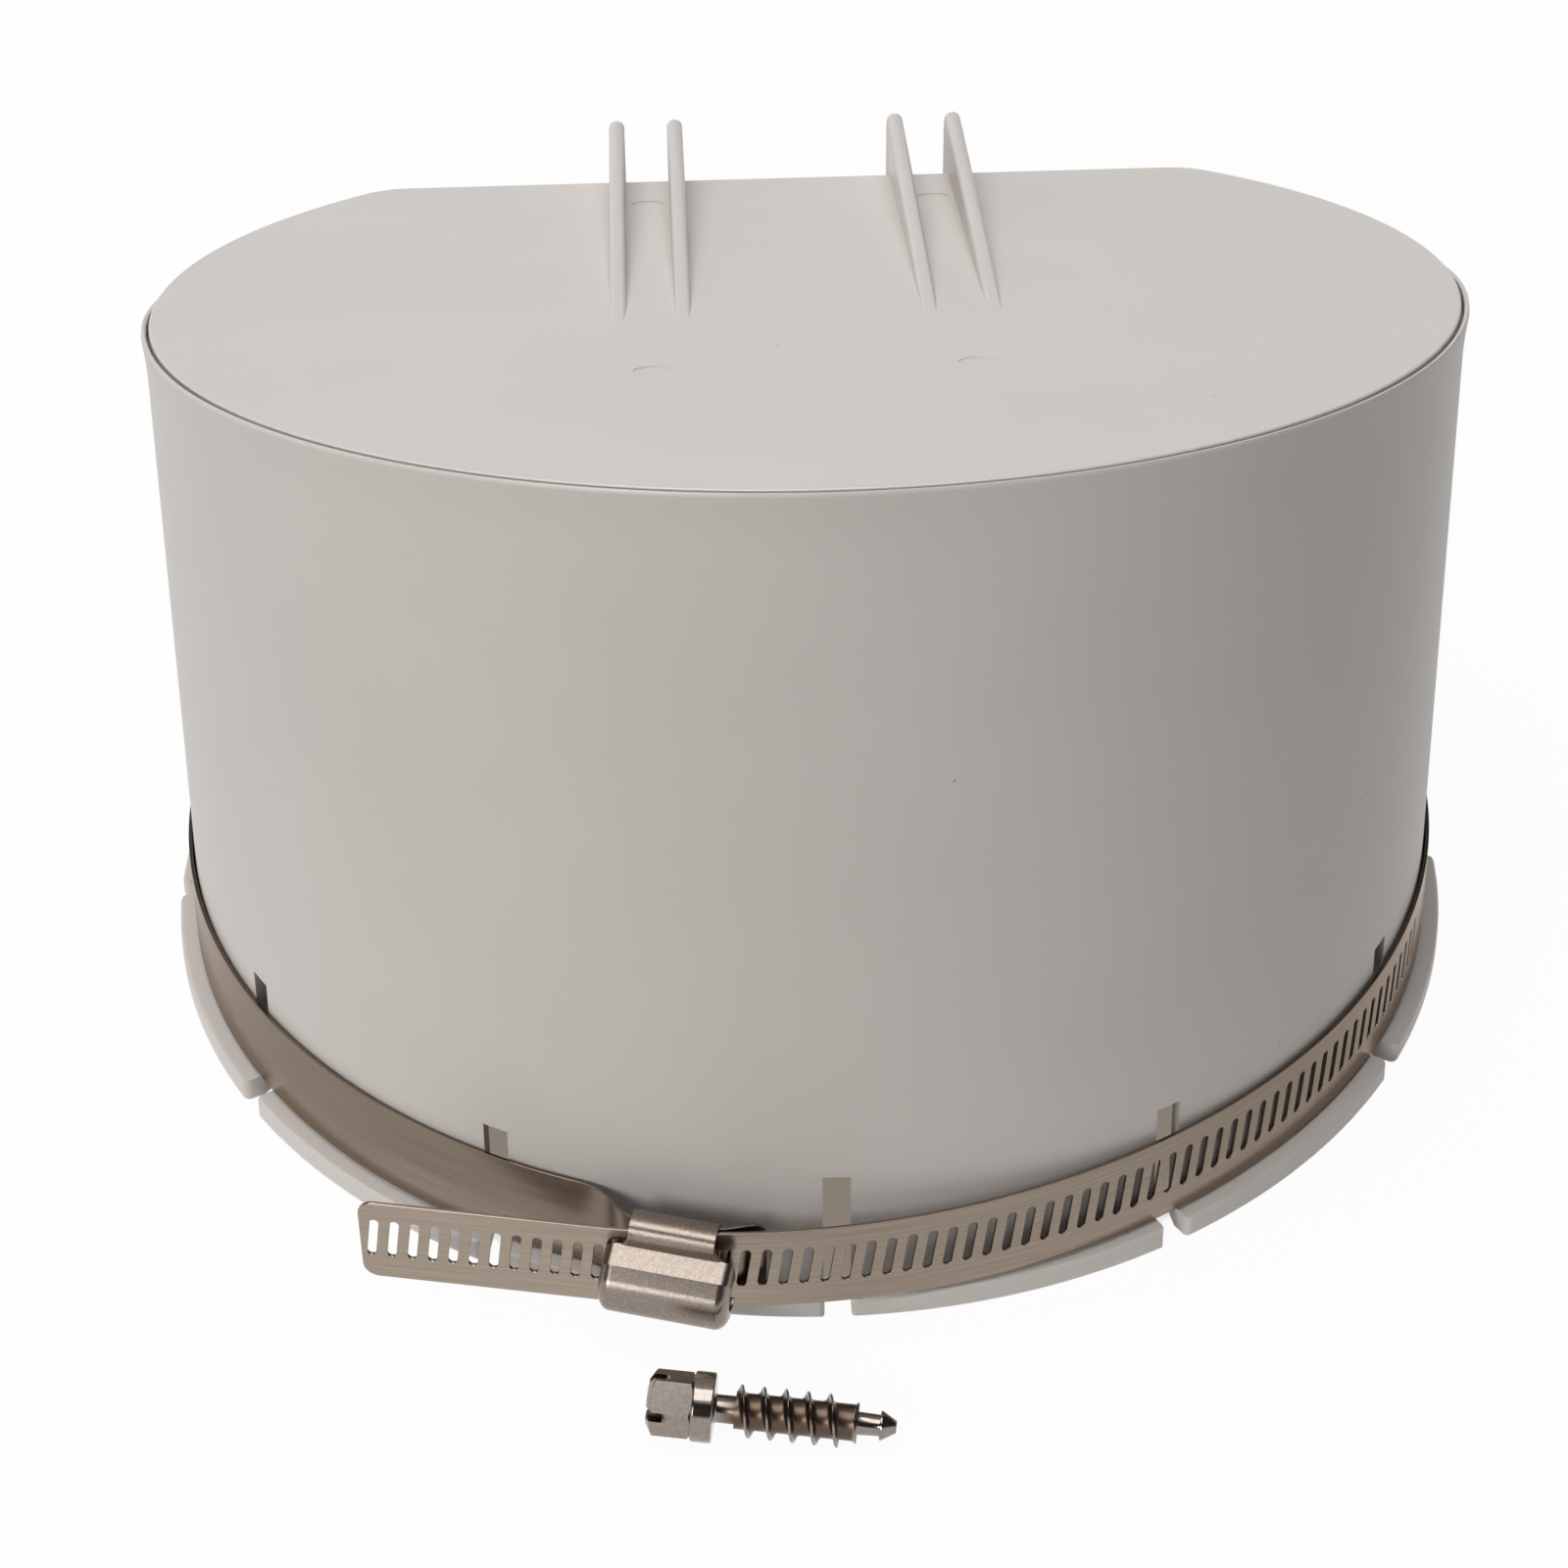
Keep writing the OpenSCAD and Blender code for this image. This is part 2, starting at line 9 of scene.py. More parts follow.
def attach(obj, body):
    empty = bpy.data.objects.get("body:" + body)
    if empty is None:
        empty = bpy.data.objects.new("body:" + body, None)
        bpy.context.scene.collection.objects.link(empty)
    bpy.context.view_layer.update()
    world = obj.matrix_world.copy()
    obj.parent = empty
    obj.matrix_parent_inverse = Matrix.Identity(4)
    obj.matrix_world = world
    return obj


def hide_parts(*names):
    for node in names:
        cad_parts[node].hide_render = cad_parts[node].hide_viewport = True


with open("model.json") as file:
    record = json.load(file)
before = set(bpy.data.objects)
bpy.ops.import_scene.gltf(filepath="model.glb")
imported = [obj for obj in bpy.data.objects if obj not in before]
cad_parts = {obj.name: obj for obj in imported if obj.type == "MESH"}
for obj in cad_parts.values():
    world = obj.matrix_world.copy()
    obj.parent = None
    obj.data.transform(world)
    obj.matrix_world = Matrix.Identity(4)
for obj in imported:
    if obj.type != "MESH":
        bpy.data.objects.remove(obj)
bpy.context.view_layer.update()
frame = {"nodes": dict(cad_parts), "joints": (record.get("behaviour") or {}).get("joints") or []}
mm = 0.001
print("frame loaded:", ", ".join(sorted(frame["nodes"])))


def linear(hexColour):  # sRGB hex to the linear values that Blender wants
    parts = [int(hexColour[i:i + 2], 16) / 255 for i in (1, 3, 5)]
    return [c / 12.92 if c <= 0.04045 else ((c + 0.055) / 1.055) ** 2.4 for c in parts] + [1.0]


def addNode(tree, kind, values=None, links=None, stops=(), **settings):
    node = tree.nodes.new(kind)
    for name, value in settings.items():
        setattr(node, name, value)
    for socket, value in (values or {}).items():
        node.inputs[socket].default_value = value
    for socket, source in (links or {}).items():
        tree.links.new(source, node.inputs[socket])
    for i, (position, colour) in enumerate(stops):  # a colour ramp starts with two stops
        row = node.color_ramp.elements
        stop = row[i] if i < 2 else row.new(position)
        stop.position, stop.color = position, linear(colour)
    return node


def newMaterial(name):
    material = bpy.data.materials.new(name)
    material.use_nodes = True
    material.node_tree.nodes.clear()
    return material, material.node_tree


def arc(centre, radius, start, end, steps):  # points on an arc, angles in degrees
    angles = [math.radians(start + (end - start) * i / steps) for i in range(steps + 1)]
    return [(centre[0] + radius * math.cos(a), centre[1] + radius * math.sin(a)) for a in angles]


def outline(bm, points, closed=True):  # vertices joined in a row, as (x, y, z)
    verts = [bm.verts.new(p) for p in points]
    pairs = list(zip(verts, verts[1:])) + ([(verts[-1], verts[0])] if closed else [])
    return [bm.edges.new(pair) for pair in pairs]


def thicken(bm, depth):  # flat faces made a solid, depth along a vector
    grown = bmesh.ops.extrude_face_region(bm, geom=bm.faces[:], use_keep_orig=True)["geom"]
    bmesh.ops.translate(bm, vec=depth, verts=[g for g in grown if isinstance(g, bmesh.types.BMVert)])
    bmesh.ops.recalc_face_normals(bm, faces=bm.faces[:])


def plate(points, depth):  # a flat outline made a solid
    bm = bmesh.new()
    edges = outline(bm, points)
    bmesh.ops.edgeloop_fill(bm, edges=edges)
    thicken(bm, depth)
    return bm


def lathe(profile, steps, closed=False):  # profile of (radius, height) turned about Z
    bm = bmesh.new()
    edges = outline(bm, [(r, 0, z) for r, z in profile], closed)
    geom = bm.verts[:] + edges
    bmesh.ops.spin(bm, geom=geom, cent=(0, 0, 0), axis=(0, 0, 1), angle=math.tau,
                   steps=steps, use_merge=True)
    bmesh.ops.remove_doubles(bm, verts=bm.verts[:], dist=1e-4)
    bmesh.ops.recalc_face_normals(bm, faces=bm.faces[:])
    return bm


def block(low, high):  # a box between two corners
    bm = bmesh.new()
    size = [b - a for a, b in zip(low, high)]
    middle = [(a + b) / 2 for a, b in zip(low, high)]
    bmesh.ops.create_cube(bm, size=1, matrix=Matrix.Translation(middle) @ Matrix.Diagonal(size + [1]))
    return bm


def rod(radius, length, place, steps=48):  # a cylinder along the Z of its place
    bm = bmesh.new()
    bmesh.ops.create_cone(bm, cap_ends=True, segments=steps, radius1=radius, radius2=radius,
                          depth=length, matrix=place)
    return bm


def turnZ(bm, degrees):
    bmesh.ops.rotate(bm, cent=(0, 0, 0), verts=bm.verts[:],
                     matrix=Matrix.Rotation(math.radians(degrees), 3, "Z"))
    return bm


def bevelSharp(bm, offset, segments, degrees, keep=lambda edge: True, clamp=True):
    edges = [e for e in bm.edges if len(e.link_faces) == 2
             and e.calc_face_angle(0) > math.radians(degrees) and keep(e)]
    bmesh.ops.bevel(bm, geom=edges, offset=offset, offset_type="OFFSET", segments=segments,
                    profile=0.5, affect="EDGES", clamp_overlap=clamp, material=-1)


def asObject(bm, name):
    mesh = bpy.data.meshes.new(name)
    bm.to_mesh(mesh)
    bm.free()
    piece = bpy.data.objects.new(name, mesh)
    bpy.context.scene.collection.objects.link(piece)
    return piece


def combine(base, tools, operation):  # exact boolean of bmeshes, one tool after the other
    for tool in tools:
        body, cutter = asObject(base, "work"), asObject(tool, "tool")
        step = body.modifiers.new("cut", "BOOLEAN")
        step.operation, step.solver, step.object = operation, "EXACT", cutter
        shown = body.evaluated_get(bpy.context.evaluated_depsgraph_get())
        base = bmesh.new()
        base.from_mesh(shown.to_mesh())
        for used in (body, cutter):
            spent = used.data
            bpy.data.objects.remove(used)
            bpy.data.meshes.remove(spent)
        bmesh.ops.remove_doubles(base, verts=base.verts[:], dist=1e-4)
        bmesh.ops.recalc_face_normals(base, faces=base.faces[:])
    return base


roundedFrom = 38  # degrees between two faces from which their edge is rounded


def finishPiece(bm, name, material, body, nodes, rounding=0.0, crisp=180):
    bmesh.ops.scale(bm, vec=(mm, mm, mm), verts=bm.verts[:])
    for face in bm.faces:
        face.smooth = True
    for edge in bm.edges:  # crisp: the angle from which an edge stays sharp
        edge.smooth = edge.calc_face_angle(0) < math.radians(crisp)
    piece = asObject(bm, name)
    piece.data.materials.append(material)
    if rounding:
        edge = piece.modifiers.new("edge rounding", "BEVEL")
        edge.width, edge.segments = rounding * mm, 2
        edge.limit_method, edge.angle_limit = "ANGLE", math.radians(roundedFrom)
    flat = piece.modifiers.new("flat faces", "WEIGHTED_NORMAL")
    flat.keep_sharp = True
    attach(piece, body)
    for node in nodes:
        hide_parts(node)
    print("piece:", name, len(piece.data.polygons), "faces")
    return piece


# view: the photograph's camera, in mm from the foot of the sleeve's axis, its focal length in pixels
view = {
    "place": (-18.55, -503.3, 399.3), "yaw": 1.74, "pitch": -37.163, "roll": -0.727,
    "focal": 4761.0, "frame": 1600.0, "sensor": 36.0, "clipFrom": 50.0, "clipTo": 20000.0,
}
yaw, pitch, roll = (math.radians(view[k]) for k in ("yaw", "pitch", "roll"))
ahead = math.cos(pitch)
forward = Vector((math.sin(yaw) * ahead, math.cos(yaw) * ahead, math.sin(pitch)))
right = forward.cross(Vector((0, 0, 1))).normalized()
up = right.cross(forward)
right, up = (math.cos(roll) * right + math.sin(roll) * up,
             math.cos(roll) * up - math.sin(roll) * right)
cameraData = bpy.data.cameras.new("camera")
cameraData.sensor_width = view["sensor"]
cameraData.lens = view["focal"] / view["frame"] * view["sensor"]
cameraData.clip_start, cameraData.clip_end = view["clipFrom"] * mm, view["clipTo"] * mm
camera = bpy.data.objects.new("camera", cameraData)
camera.matrix_world = (Matrix.Translation([c * mm for c in view["place"]])
                       @ Matrix((right, up, -forward)).transposed().to_4x4())
bpy.context.scene.collection.objects.link(camera)
bpy.context.scene.camera = camera
bpy.context.scene.view_settings.view_transform = "Standard"
print("camera placed")


# studio, in metres: a wide panel overhead, a weak light from the left, a white floor that keeps the shadow
studio = {
    "floorSize": 14.0, "floorDrop": 0.00002, "floorGlow": 0.95, "floorColour": "#f4f2ef",
    # by distance from the sleeve's axis: the light thrown back, brightest at the vent's foot,
    # and the floor as seen, shaded along the inside of the sleeve, where the skirt slots show it
    "bounce": [(0.09, "#f4f2ef"), (0.14, "#b9b6b2")],
    "shade": [(0.02, "#dedad6"), (0.058, "#8b8177"), (0.081, "#8b8177"), (0.0812, "#ffffff")],
    # by height: white backdrop low down, a dim room, a white ceiling
    "room": [(0.1, "#ffffff"), (0.26, "#403d3b"), (0.8, "#403d3b"), (0.9, "#ffffff")], "fill": 0.25,
    "panelPlace": (-0.2, 0.1, 1.3), "panelSize": 1.7, "panelPower": 17.0,
    "leftPlace": (-1.0, -1.45, 0.75), "leftSize": 0.9, "leftPower": 14.1, "aim": (0, 0, 0.05),
}


def eyeRays(tree):  # 1 on rays from the camera, straight or by way of metal
    path = addNode(tree, "ShaderNodeLightPath")
    mask = path.outputs["Is Camera Ray"]
    for kind in ("Is Glossy Ray", "Is Transmission Ray"):
        either = addNode(tree, "ShaderNodeMath", links={0: mask, 1: path.outputs[kind]},
                         operation="MAXIMUM")
        mask = either.outputs[0]
    return mask


world = bpy.data.worlds.new("studio")
world.use_nodes = True
bpy.context.scene.world = world
tree = world.node_tree
tree.nodes.clear()
coords = addNode(tree, "ShaderNodeTexCoord")
split = addNode(tree, "ShaderNodeSeparateXYZ", links={0: coords.outputs["Generated"]})
room = addNode(tree, "ShaderNodeValToRGB", links={0: split.outputs["Z"]}, stops=studio["room"])
dim = addNode(tree, "ShaderNodeBackground", {"Strength": studio["fill"]}, {"Color": room.outputs["Color"]})
white = addNode(tree, "ShaderNodeBackground", {"Strength": 1.0}, {"Color": room.outputs["Color"]})
mixed = addNode(tree, "ShaderNodeMixShader",
                links={0: eyeRays(tree), 1: dim.outputs[0], 2: white.outputs[0]})
addNode(tree, "ShaderNodeOutputWorld", links={"Surface": mixed.outputs[0]})

# the floor glows white to the camera, and takes the light as matt paint
floorPaint, tree = newMaterial("matt white studio floor")
coords = addNode(tree, "ShaderNodeTexCoord")
reach = addNode(tree, "ShaderNodeVectorMath", links={0: coords.outputs["Object"]}, operation="LENGTH")
seen = addNode(tree, "ShaderNodeValToRGB", links={0: reach.outputs["Value"]}, stops=studio["shade"])
bounce = addNode(tree, "ShaderNodeValToRGB", links={0: reach.outputs["Value"]}, stops=studio["bounce"])
eye = eyeRays(tree)
paint = addNode(tree, "ShaderNodeMix", {7: linear(studio["floorColour"])}, {0: eye, 6: bounce.outputs[0]},
                data_type="RGBA")
matt = addNode(tree, "ShaderNodeBsdfDiffuse", links={"Color": paint.outputs[2]})
glow = addNode(tree, "ShaderNodeEmission", {"Strength": 1.0}, {"Color": seen.outputs[0]})
share = addNode(tree, "ShaderNodeMath", {1: studio["floorGlow"]}, {0: eye}, operation="MULTIPLY")
mixed = addNode(tree, "ShaderNodeMixShader",
                links={0: share.outputs[0], 1: matt.outputs[0], 2: glow.outputs[0]})
addNode(tree, "ShaderNodeOutputMaterial", links={"Surface": mixed.outputs[0]})
floorBm = bmesh.new()
bmesh.ops.create_grid(floorBm, x_segments=1, y_segments=1, size=studio["floorSize"] / 2,
                      matrix=Matrix.Translation((0, 0, -studio["floorDrop"])))
floor = asObject(floorBm, "floor")
floor.data.materials.append(floorPaint)


def softbox(name, place, size, power):
    light = bpy.data.lights.new(name, "AREA")
    light.shape, light.size, light.energy = "DISK", size, power
    lamp = bpy.data.objects.new(name, light)
    lamp.location = place
    lamp.rotation_euler = (Vector(studio["aim"]) - Vector(place)).to_track_quat("-Z", "Y").to_euler()
    lamp.visible_camera = False
    bpy.context.scene.collection.objects.link(lamp)


softbox("overhead panel", studio["panelPlace"], studio["panelSize"], studio["panelPower"])
softbox("left light", studio["leftPlace"], studio["leftSize"], studio["leftPower"])
print("studio lit")


# materials: sizes in mm, ramps as (position, colour), the grains coarser than real, so that they show
# moulded ABS: off-white, satin, a faint cloudiness and a few dark specks of dust
moulded = {
    "cloud": [(0.35, "#d1cbc6"), (0.65, "#d4cec9")], "cloudSize": 30.0,
    "speck": "#948d85", "speckSpacing": 9.0, "speckSize": 0.16,
    "grain": 0.5, "bump": 0.04, "bumpHeight": 0.05, "roughness": 0.4, "ior": 1.53,
}
mouldedAbs, tree = newMaterial("moulded off-white ABS")
coords = addNode(tree, "ShaderNodeTexCoord")
clouds = addNode(tree, "ShaderNodeTexNoise", {"Scale": 1 / (moulded["cloudSize"] * mm), "Detail": 3.0},
                 {"Vector": coords.outputs["Object"]})
tone = addNode(tree, "ShaderNodeValToRGB", links={0: clouds.outputs[0]}, stops=moulded["cloud"])
cells = addNode(tree, "ShaderNodeTexVoronoi", {"Scale": 1 / (moulded["speckSpacing"] * mm)},
                {"Vector": coords.outputs["Object"]})
speck = addNode(tree, "ShaderNodeMath", {1: moulded["speckSize"] / moulded["speckSpacing"]},
                {0: cells.outputs["Distance"]}, operation="LESS_THAN")
skin = addNode(tree, "ShaderNodeMix", {7: linear(moulded["speck"])},
               {0: speck.outputs[0], 6: tone.outputs[0]}, data_type="RGBA")
grain = addNode(tree, "ShaderNodeTexNoise", {"Scale": 1 / (moulded["grain"] * mm), "Detail": 2.0},
                {"Vector": coords.outputs["Object"]})
bump = addNode(tree, "ShaderNodeBump",
               {"Strength": moulded["bump"], "Distance": moulded["bumpHeight"] * mm},
               {"Height": grain.outputs[0]})
shader = addNode(tree, "ShaderNodeBsdfPrincipled",
                 {"Roughness": moulded["roughness"], "IOR": moulded["ior"]},
                 {"Base Color": skin.outputs[2], "Normal": bump.outputs[0]})
addNode(tree, "ShaderNodeOutputMaterial", links={"Surface": shader.outputs[0]})


# rolled stainless strip: satin, fine streaks along it, painted light that is lighter on the tail and darker
# to its far end, and a painted highlight that makes its low edge paler, over the shade reflected from the
# flange
rolled = {
    # colours by mm along the strip, painted light: lighter on the tail, darker to the far end
    "along": [(35, "#a79a8d"), (60, "#96887c"), (85, "#93867a"), (125, "#83776c"), (480, "#84786c")],
    # painted highlight: the strip's low edge painted paler a little past the tail, over the flange's shade
    # that it reflects
    "length": 600.0, "paintedPaleEdge": "#9a8c7f", "paintedPaleEdgeFrom": 55.0, "paintedPaleEdgeFull": 80.0, "lowEdge": -6.35,
    "streak": [(0.35, "#ebeae8"), (0.65, "#ffffff")], "streakWidth": 0.35, "streakLength": 18.0,
    "bump": 0.08, "bumpHeight": 0.02, "roughness": 0.26, "edgeTint": "#eae1db",
}
rolledSteel, tree = newMaterial("rolled stainless strip")
flatMap = addNode(tree, "ShaderNodeUVMap", uv_map="strip")
split = addNode(tree, "ShaderNodeSeparateXYZ", links={0: flatMap.outputs[0]})
along = addNode(tree, "ShaderNodeMapRange", {"From Max": rolled["length"] * mm},
                {"Value": split.outputs["X"]})
# painted light along the strip: lighter on the tail, darker towards its far end
paintedLightAlong = addNode(tree, "ShaderNodeValToRGB", links={0: along.outputs[0]},
               stops=[(place / rolled["length"], colour) for place, colour in rolled["along"]])
# painted highlight: paler towards the low edge, over the shaded top of the flange reflected there
low = addNode(tree, "ShaderNodeMapRange", {"From Max": rolled["lowEdge"] * mm},
              {"Value": split.outputs["Y"]})
past = addNode(tree, "ShaderNodeMapRange",
               {"From Min": rolled["paintedPaleEdgeFrom"] * mm, "From Max": rolled["paintedPaleEdgeFull"] * mm},
               {"Value": split.outputs["X"]})
paintedPaleEdgeMask = addNode(tree, "ShaderNodeMath", links={0: low.outputs[0], 1: past.outputs[0]}, operation="MULTIPLY")
metal = addNode(tree, "ShaderNodeMix", {7: linear(rolled["paintedPaleEdge"])},
                {0: paintedPaleEdgeMask.outputs[0], 6: paintedLightAlong.outputs[0]}, data_type="RGBA")
streakScale = (1 / (rolled["streakLength"] * mm), 1 / (rolled["streakWidth"] * mm), 1)
stretch = addNode(tree, "ShaderNodeMapping", {"Scale": streakScale}, {"Vector": flatMap.outputs[0]})
streaks = addNode(tree, "ShaderNodeTexNoise", {"Scale": 1.0, "Detail": 4.0}, {"Vector": stretch.outputs[0]})
tone = addNode(tree, "ShaderNodeValToRGB", links={0: streaks.outputs[0]}, stops=rolled["streak"])
skin = addNode(tree, "ShaderNodeMix", {0: 1.0}, {6: metal.outputs[2], 7: tone.outputs[0]}, data_type="RGBA",
               blend_type="MULTIPLY")
bump = addNode(tree, "ShaderNodeBump", {"Strength": rolled["bump"], "Distance": rolled["bumpHeight"] * mm},
               {"Height": streaks.outputs[0]})
shader = addNode(tree, "ShaderNodeBsdfPrincipled",
                 {"Metallic": 1.0, "Roughness": rolled["roughness"],
                  "Specular Tint": linear(rolled["edgeTint"])},
                 {"Base Color": skin.outputs[2], "Normal": bump.outputs[0]})
addNode(tree, "ShaderNodeOutputMaterial", links={"Surface": shader.outputs[0]})


# pressed stainless sheet: the same steel, drawn grainy where the press stretched it
pressed = {
    "fleck": [(0.4, "#867c73"), (0.75, "#9c9188")], "grain": 0.3,
    "bump": 0.25, "bumpHeight": 0.04, "roughness": 0.29,
}
pressedSteel, tree = newMaterial("pressed stainless sheet")
coords = addNode(tree, "ShaderNodeTexCoord")
grain = addNode(tree, "ShaderNodeTexNoise", {"Scale": 1 / (pressed["grain"] * mm), "Detail": 2.0},
                {"Vector": coords.outputs["Object"]})
tone = addNode(tree, "ShaderNodeValToRGB", links={0: grain.outputs[0]}, stops=pressed["fleck"])
bump = addNode(tree, "ShaderNodeBump",
               {"Strength": pressed["bump"], "Distance": pressed["bumpHeight"] * mm},
               {"Height": grain.outputs[0]})
shader = addNode(tree, "ShaderNodeBsdfPrincipled", {"Metallic": 1.0, "Roughness": pressed["roughness"]},
                 {"Base Color": tone.outputs[0], "Normal": bump.outputs[0]})
addNode(tree, "ShaderNodeOutputMaterial", links={"Surface": shader.outputs[0]})


# turned stainless: bright, with a mottle of tool marks, and a dull brown film left down on the worm's core
turned = {
    "mark": [(0.32, "#8b827b"), (0.62, "#978e87")], "grain": 0.5, "bump": 0.06, "bumpHeight": 0.03,
    "roughness": 0.13, "root": "#5f5045", "rootRoughness": 0.34,
}
turnedSteel, tree = newMaterial("turned stainless screw")
coords = addNode(tree, "ShaderNodeTexCoord")
crest = addNode(tree, "ShaderNodeAttribute", attribute_name="crest")
grain = addNode(tree, "ShaderNodeTexNoise", {"Scale": 1 / (turned["grain"] * mm), "Detail": 3.0},
                {"Vector": coords.outputs["Object"]})
bright = addNode(tree, "ShaderNodeValToRGB", links={0: grain.outputs[0]}, stops=turned["mark"])
tone = addNode(tree, "ShaderNodeMix", {6: linear(turned["root"])},
               {0: crest.outputs["Fac"], 7: bright.outputs[0]}, data_type="RGBA")
dull = addNode(tree, "ShaderNodeMapRange",
               {"To Min": turned["rootRoughness"], "To Max": turned["roughness"]},
               {"Value": crest.outputs["Fac"]})
bump = addNode(tree, "ShaderNodeBump", {"Strength": turned["bump"], "Distance": turned["bumpHeight"] * mm},
               {"Height": grain.outputs[0]})
shader = addNode(tree, "ShaderNodeBsdfPrincipled", {"Metallic": 1.0},
                 {"Base Color": tone.outputs[2], "Roughness": dull.outputs[0], "Normal": bump.outputs[0]})
addNode(tree, "ShaderNodeOutputMaterial", links={"Surface": shader.outputs[0]})


# drawn wire: bright steel with a fine mottle left by the drawing die
drawn = {"mark": [(0.4, "#9a958d"), (0.7, "#b4b0aa")], "markSpacing": 0.25, "roughness": 0.28}
drawnSteel, tree = newMaterial("drawn steel wire")
coords = addNode(tree, "ShaderNodeTexCoord")
marks = addNode(tree, "ShaderNodeTexNoise", {"Scale": 1 / (drawn["markSpacing"] * mm), "Detail": 2.0},
                {"Vector": coords.outputs["Object"]})
tone = addNode(tree, "ShaderNodeValToRGB", links={0: marks.outputs[0]}, stops=drawn["mark"])
shader = addNode(tree, "ShaderNodeBsdfPrincipled", {"Metallic": 1.0, "Roughness": drawn["roughness"]},
                 {"Base Color": tone.outputs[0]})
addNode(tree, "ShaderNodeOutputMaterial", links={"Surface": shader.outputs[0]})
print("materials made")


# sleeve, in mm: one turned wall, its upper rings sloped, then the flat back, lugs and slots
sleeve = {
    "socketR": 80.1, "socketDepth": 45.0, "ductR": 79.2, "skirtR": 83.0, "draft": 0.0078,
    "crown": 95.0, "slope": 16.65, "slopeFrom": 52.0, "wallRings": (12, 30, 48),
    "flangeR": 85.9, "flangeHeight": 3.1, "flangeRound": 0.6, "fillet": 0.5, "foot": 0.4,
    "lipOut": 82.6154, "lipSeat": 2.56, "seatChamfer": 0.4, "lipFadeFrom": -10.0, "lipFadeTo": 34.0,
    "backY": 60.2, "backWall": 3.0, "backDrop": 2.61, "backR": 80.8, "shelfTop": 48.0,
    "slots": 12, "slotWidth": 3.3, "slotInside": 7.0, "slotHeight": 20.5, "slotRound": 1.1,
    "slotIn": 2.0, "slotOut": 6.0,  # how far the cutter goes past socket and flange
    "lugX": 19.25, "lugWidth": 5.3, "lugR": 3.8, "lugBury": 1.0, "pinHole": 1.51,
    "overcut": 1.0, "far": 120.0, "steps": 240, "crisp": 38.0,  # far: past the whole sleeve
}
slopeAngle = math.radians(sleeve["slope"])
hingeY, hingeZ = frame["joints"][0]["pos_m"][1] / mm, frame["joints"][0]["pos_m"][2] / mm


def wallR(z):
    return sleeve["skirtR"] - sleeve["draft"] * z


def slopeTop(y):
    return sleeve["crown"] - math.tan(slopeAngle) * y


def hingeAxis(x):  # a place on the hinge line, its Z along the pins
    return Matrix.Translation((x, hingeY, hingeZ)) @ Matrix.Rotation(math.pi / 2, 4, "Y")


def ramp01(value, low, high):  # a smooth step
    k = min(1.0, max(0.0, (value - low) / (high - low)))
    return k * k * (3 - 2 * k)


# rings of the rim, from the flare up over the lip: share of the lip's overhang, offset out, drop
lipRings = [(0, 0, 8.0), (0.06, 0, 6.1), (0.26, 0, 4.2), (0.58, 0, 2.5), (1, 0, 0.85), (1, -0.06, 0.45),
            (1, -0.2, 0.2), (1, -0.42, 0.2), (1, -0.62, 0.42), (1, -0.62, 2.56)]
# the same rings where the lip has died away
plainRings = [(0, 0, 8.0), (0, 0, 6.6), (0, 0, 5.2), (0, 0, 4.0), (0, 0, 3.2), (0, -0.06, 2.8),
              (0, -0.2, 2.6), (0, -0.4, 2.56), (0, -0.7, 2.56), (0, -1.0, 2.56)]


def sleeveProfile():
    s = sleeve
    wall = wallR(s["crown"])
    r, fillet = s["flangeRound"], s["fillet"]
    seat, chamfer = s["crown"] - s["lipSeat"], s["seatChamfer"]
    points = [(s["socketR"], s["foot"]), (s["socketR"] + s["foot"], 0)]
    points += arc((s["flangeR"] - r, r), r, -90, 0, 5)
    points += arc((s["flangeR"] - r, s["flangeHeight"] - r), r, 0, 90, 5)
    points += arc((s["skirtR"] + fillet, s["flangeHeight"] + fillet), fillet, -90, -180, 4)
    points += [(wallR(z), z) for z in s["wallRings"]]
    points += [(wall + (s["lipOut"] - wall) * share + inset, s["crown"] - drop)
               for share, inset, drop in lipRings]
    points += [(s["ductR"] + chamfer, seat), (s["ductR"], seat - chamfer)]
    points += [(s["ductR"], s["socketDepth"]), (s["socketR"], s["socketDepth"])]
    return points


def slopeRim(bm):  # draft, slope and the lip dying away towards its ends
    s = sleeve
    wall = wallR(s["crown"])
    ringOf = {(round(wall + (s["lipOut"] - wall) * share + inset, 2), round(drop, 2)): i
              for i, (share, inset, drop) in enumerate(lipRings)}
    for v in bm.verts:
        if v.co.z < s["slopeFrom"]:
            continue
        drop = s["crown"] - v.co.z
        r, angle = v.co.xy.length, math.atan2(v.co.y, v.co.x)
        ring = ringOf.get((round(r, 2), round(drop, 2)))
        if ring is not None:
            fade = ramp01(r * math.sin(angle), s["lipFadeFrom"], s["lipFadeTo"])
            share, inset, drop = (a + (b - a) * fade for a, b in zip(lipRings[ring], plainRings[ring]))
            local = wallR(slopeTop(r * math.sin(angle)) - drop)
            r = local + (s["lipOut"] - local) * share + inset
        y = r * math.sin(angle)
        v.co = Vector((r * math.cos(angle), y, slopeTop(y) - drop))


def hingeLug(x):
    s = sleeve
    root = s["backY"] - s["lugBury"]
    diag = s["lugR"] * math.sqrt(0.5)
    reach = hingeY + diag - root  # the underside runs back to the wall at 45 degrees
    points = arc((hingeY, hingeZ), s["lugR"], -45, 90, 18)
    points += [(root, hingeZ + s["lugR"]), (root, hingeZ - diag - reach)]
    return plate([(x - s["lugWidth"] / 2, y, z) for y, z in points], (s["lugWidth"], 0, 0))


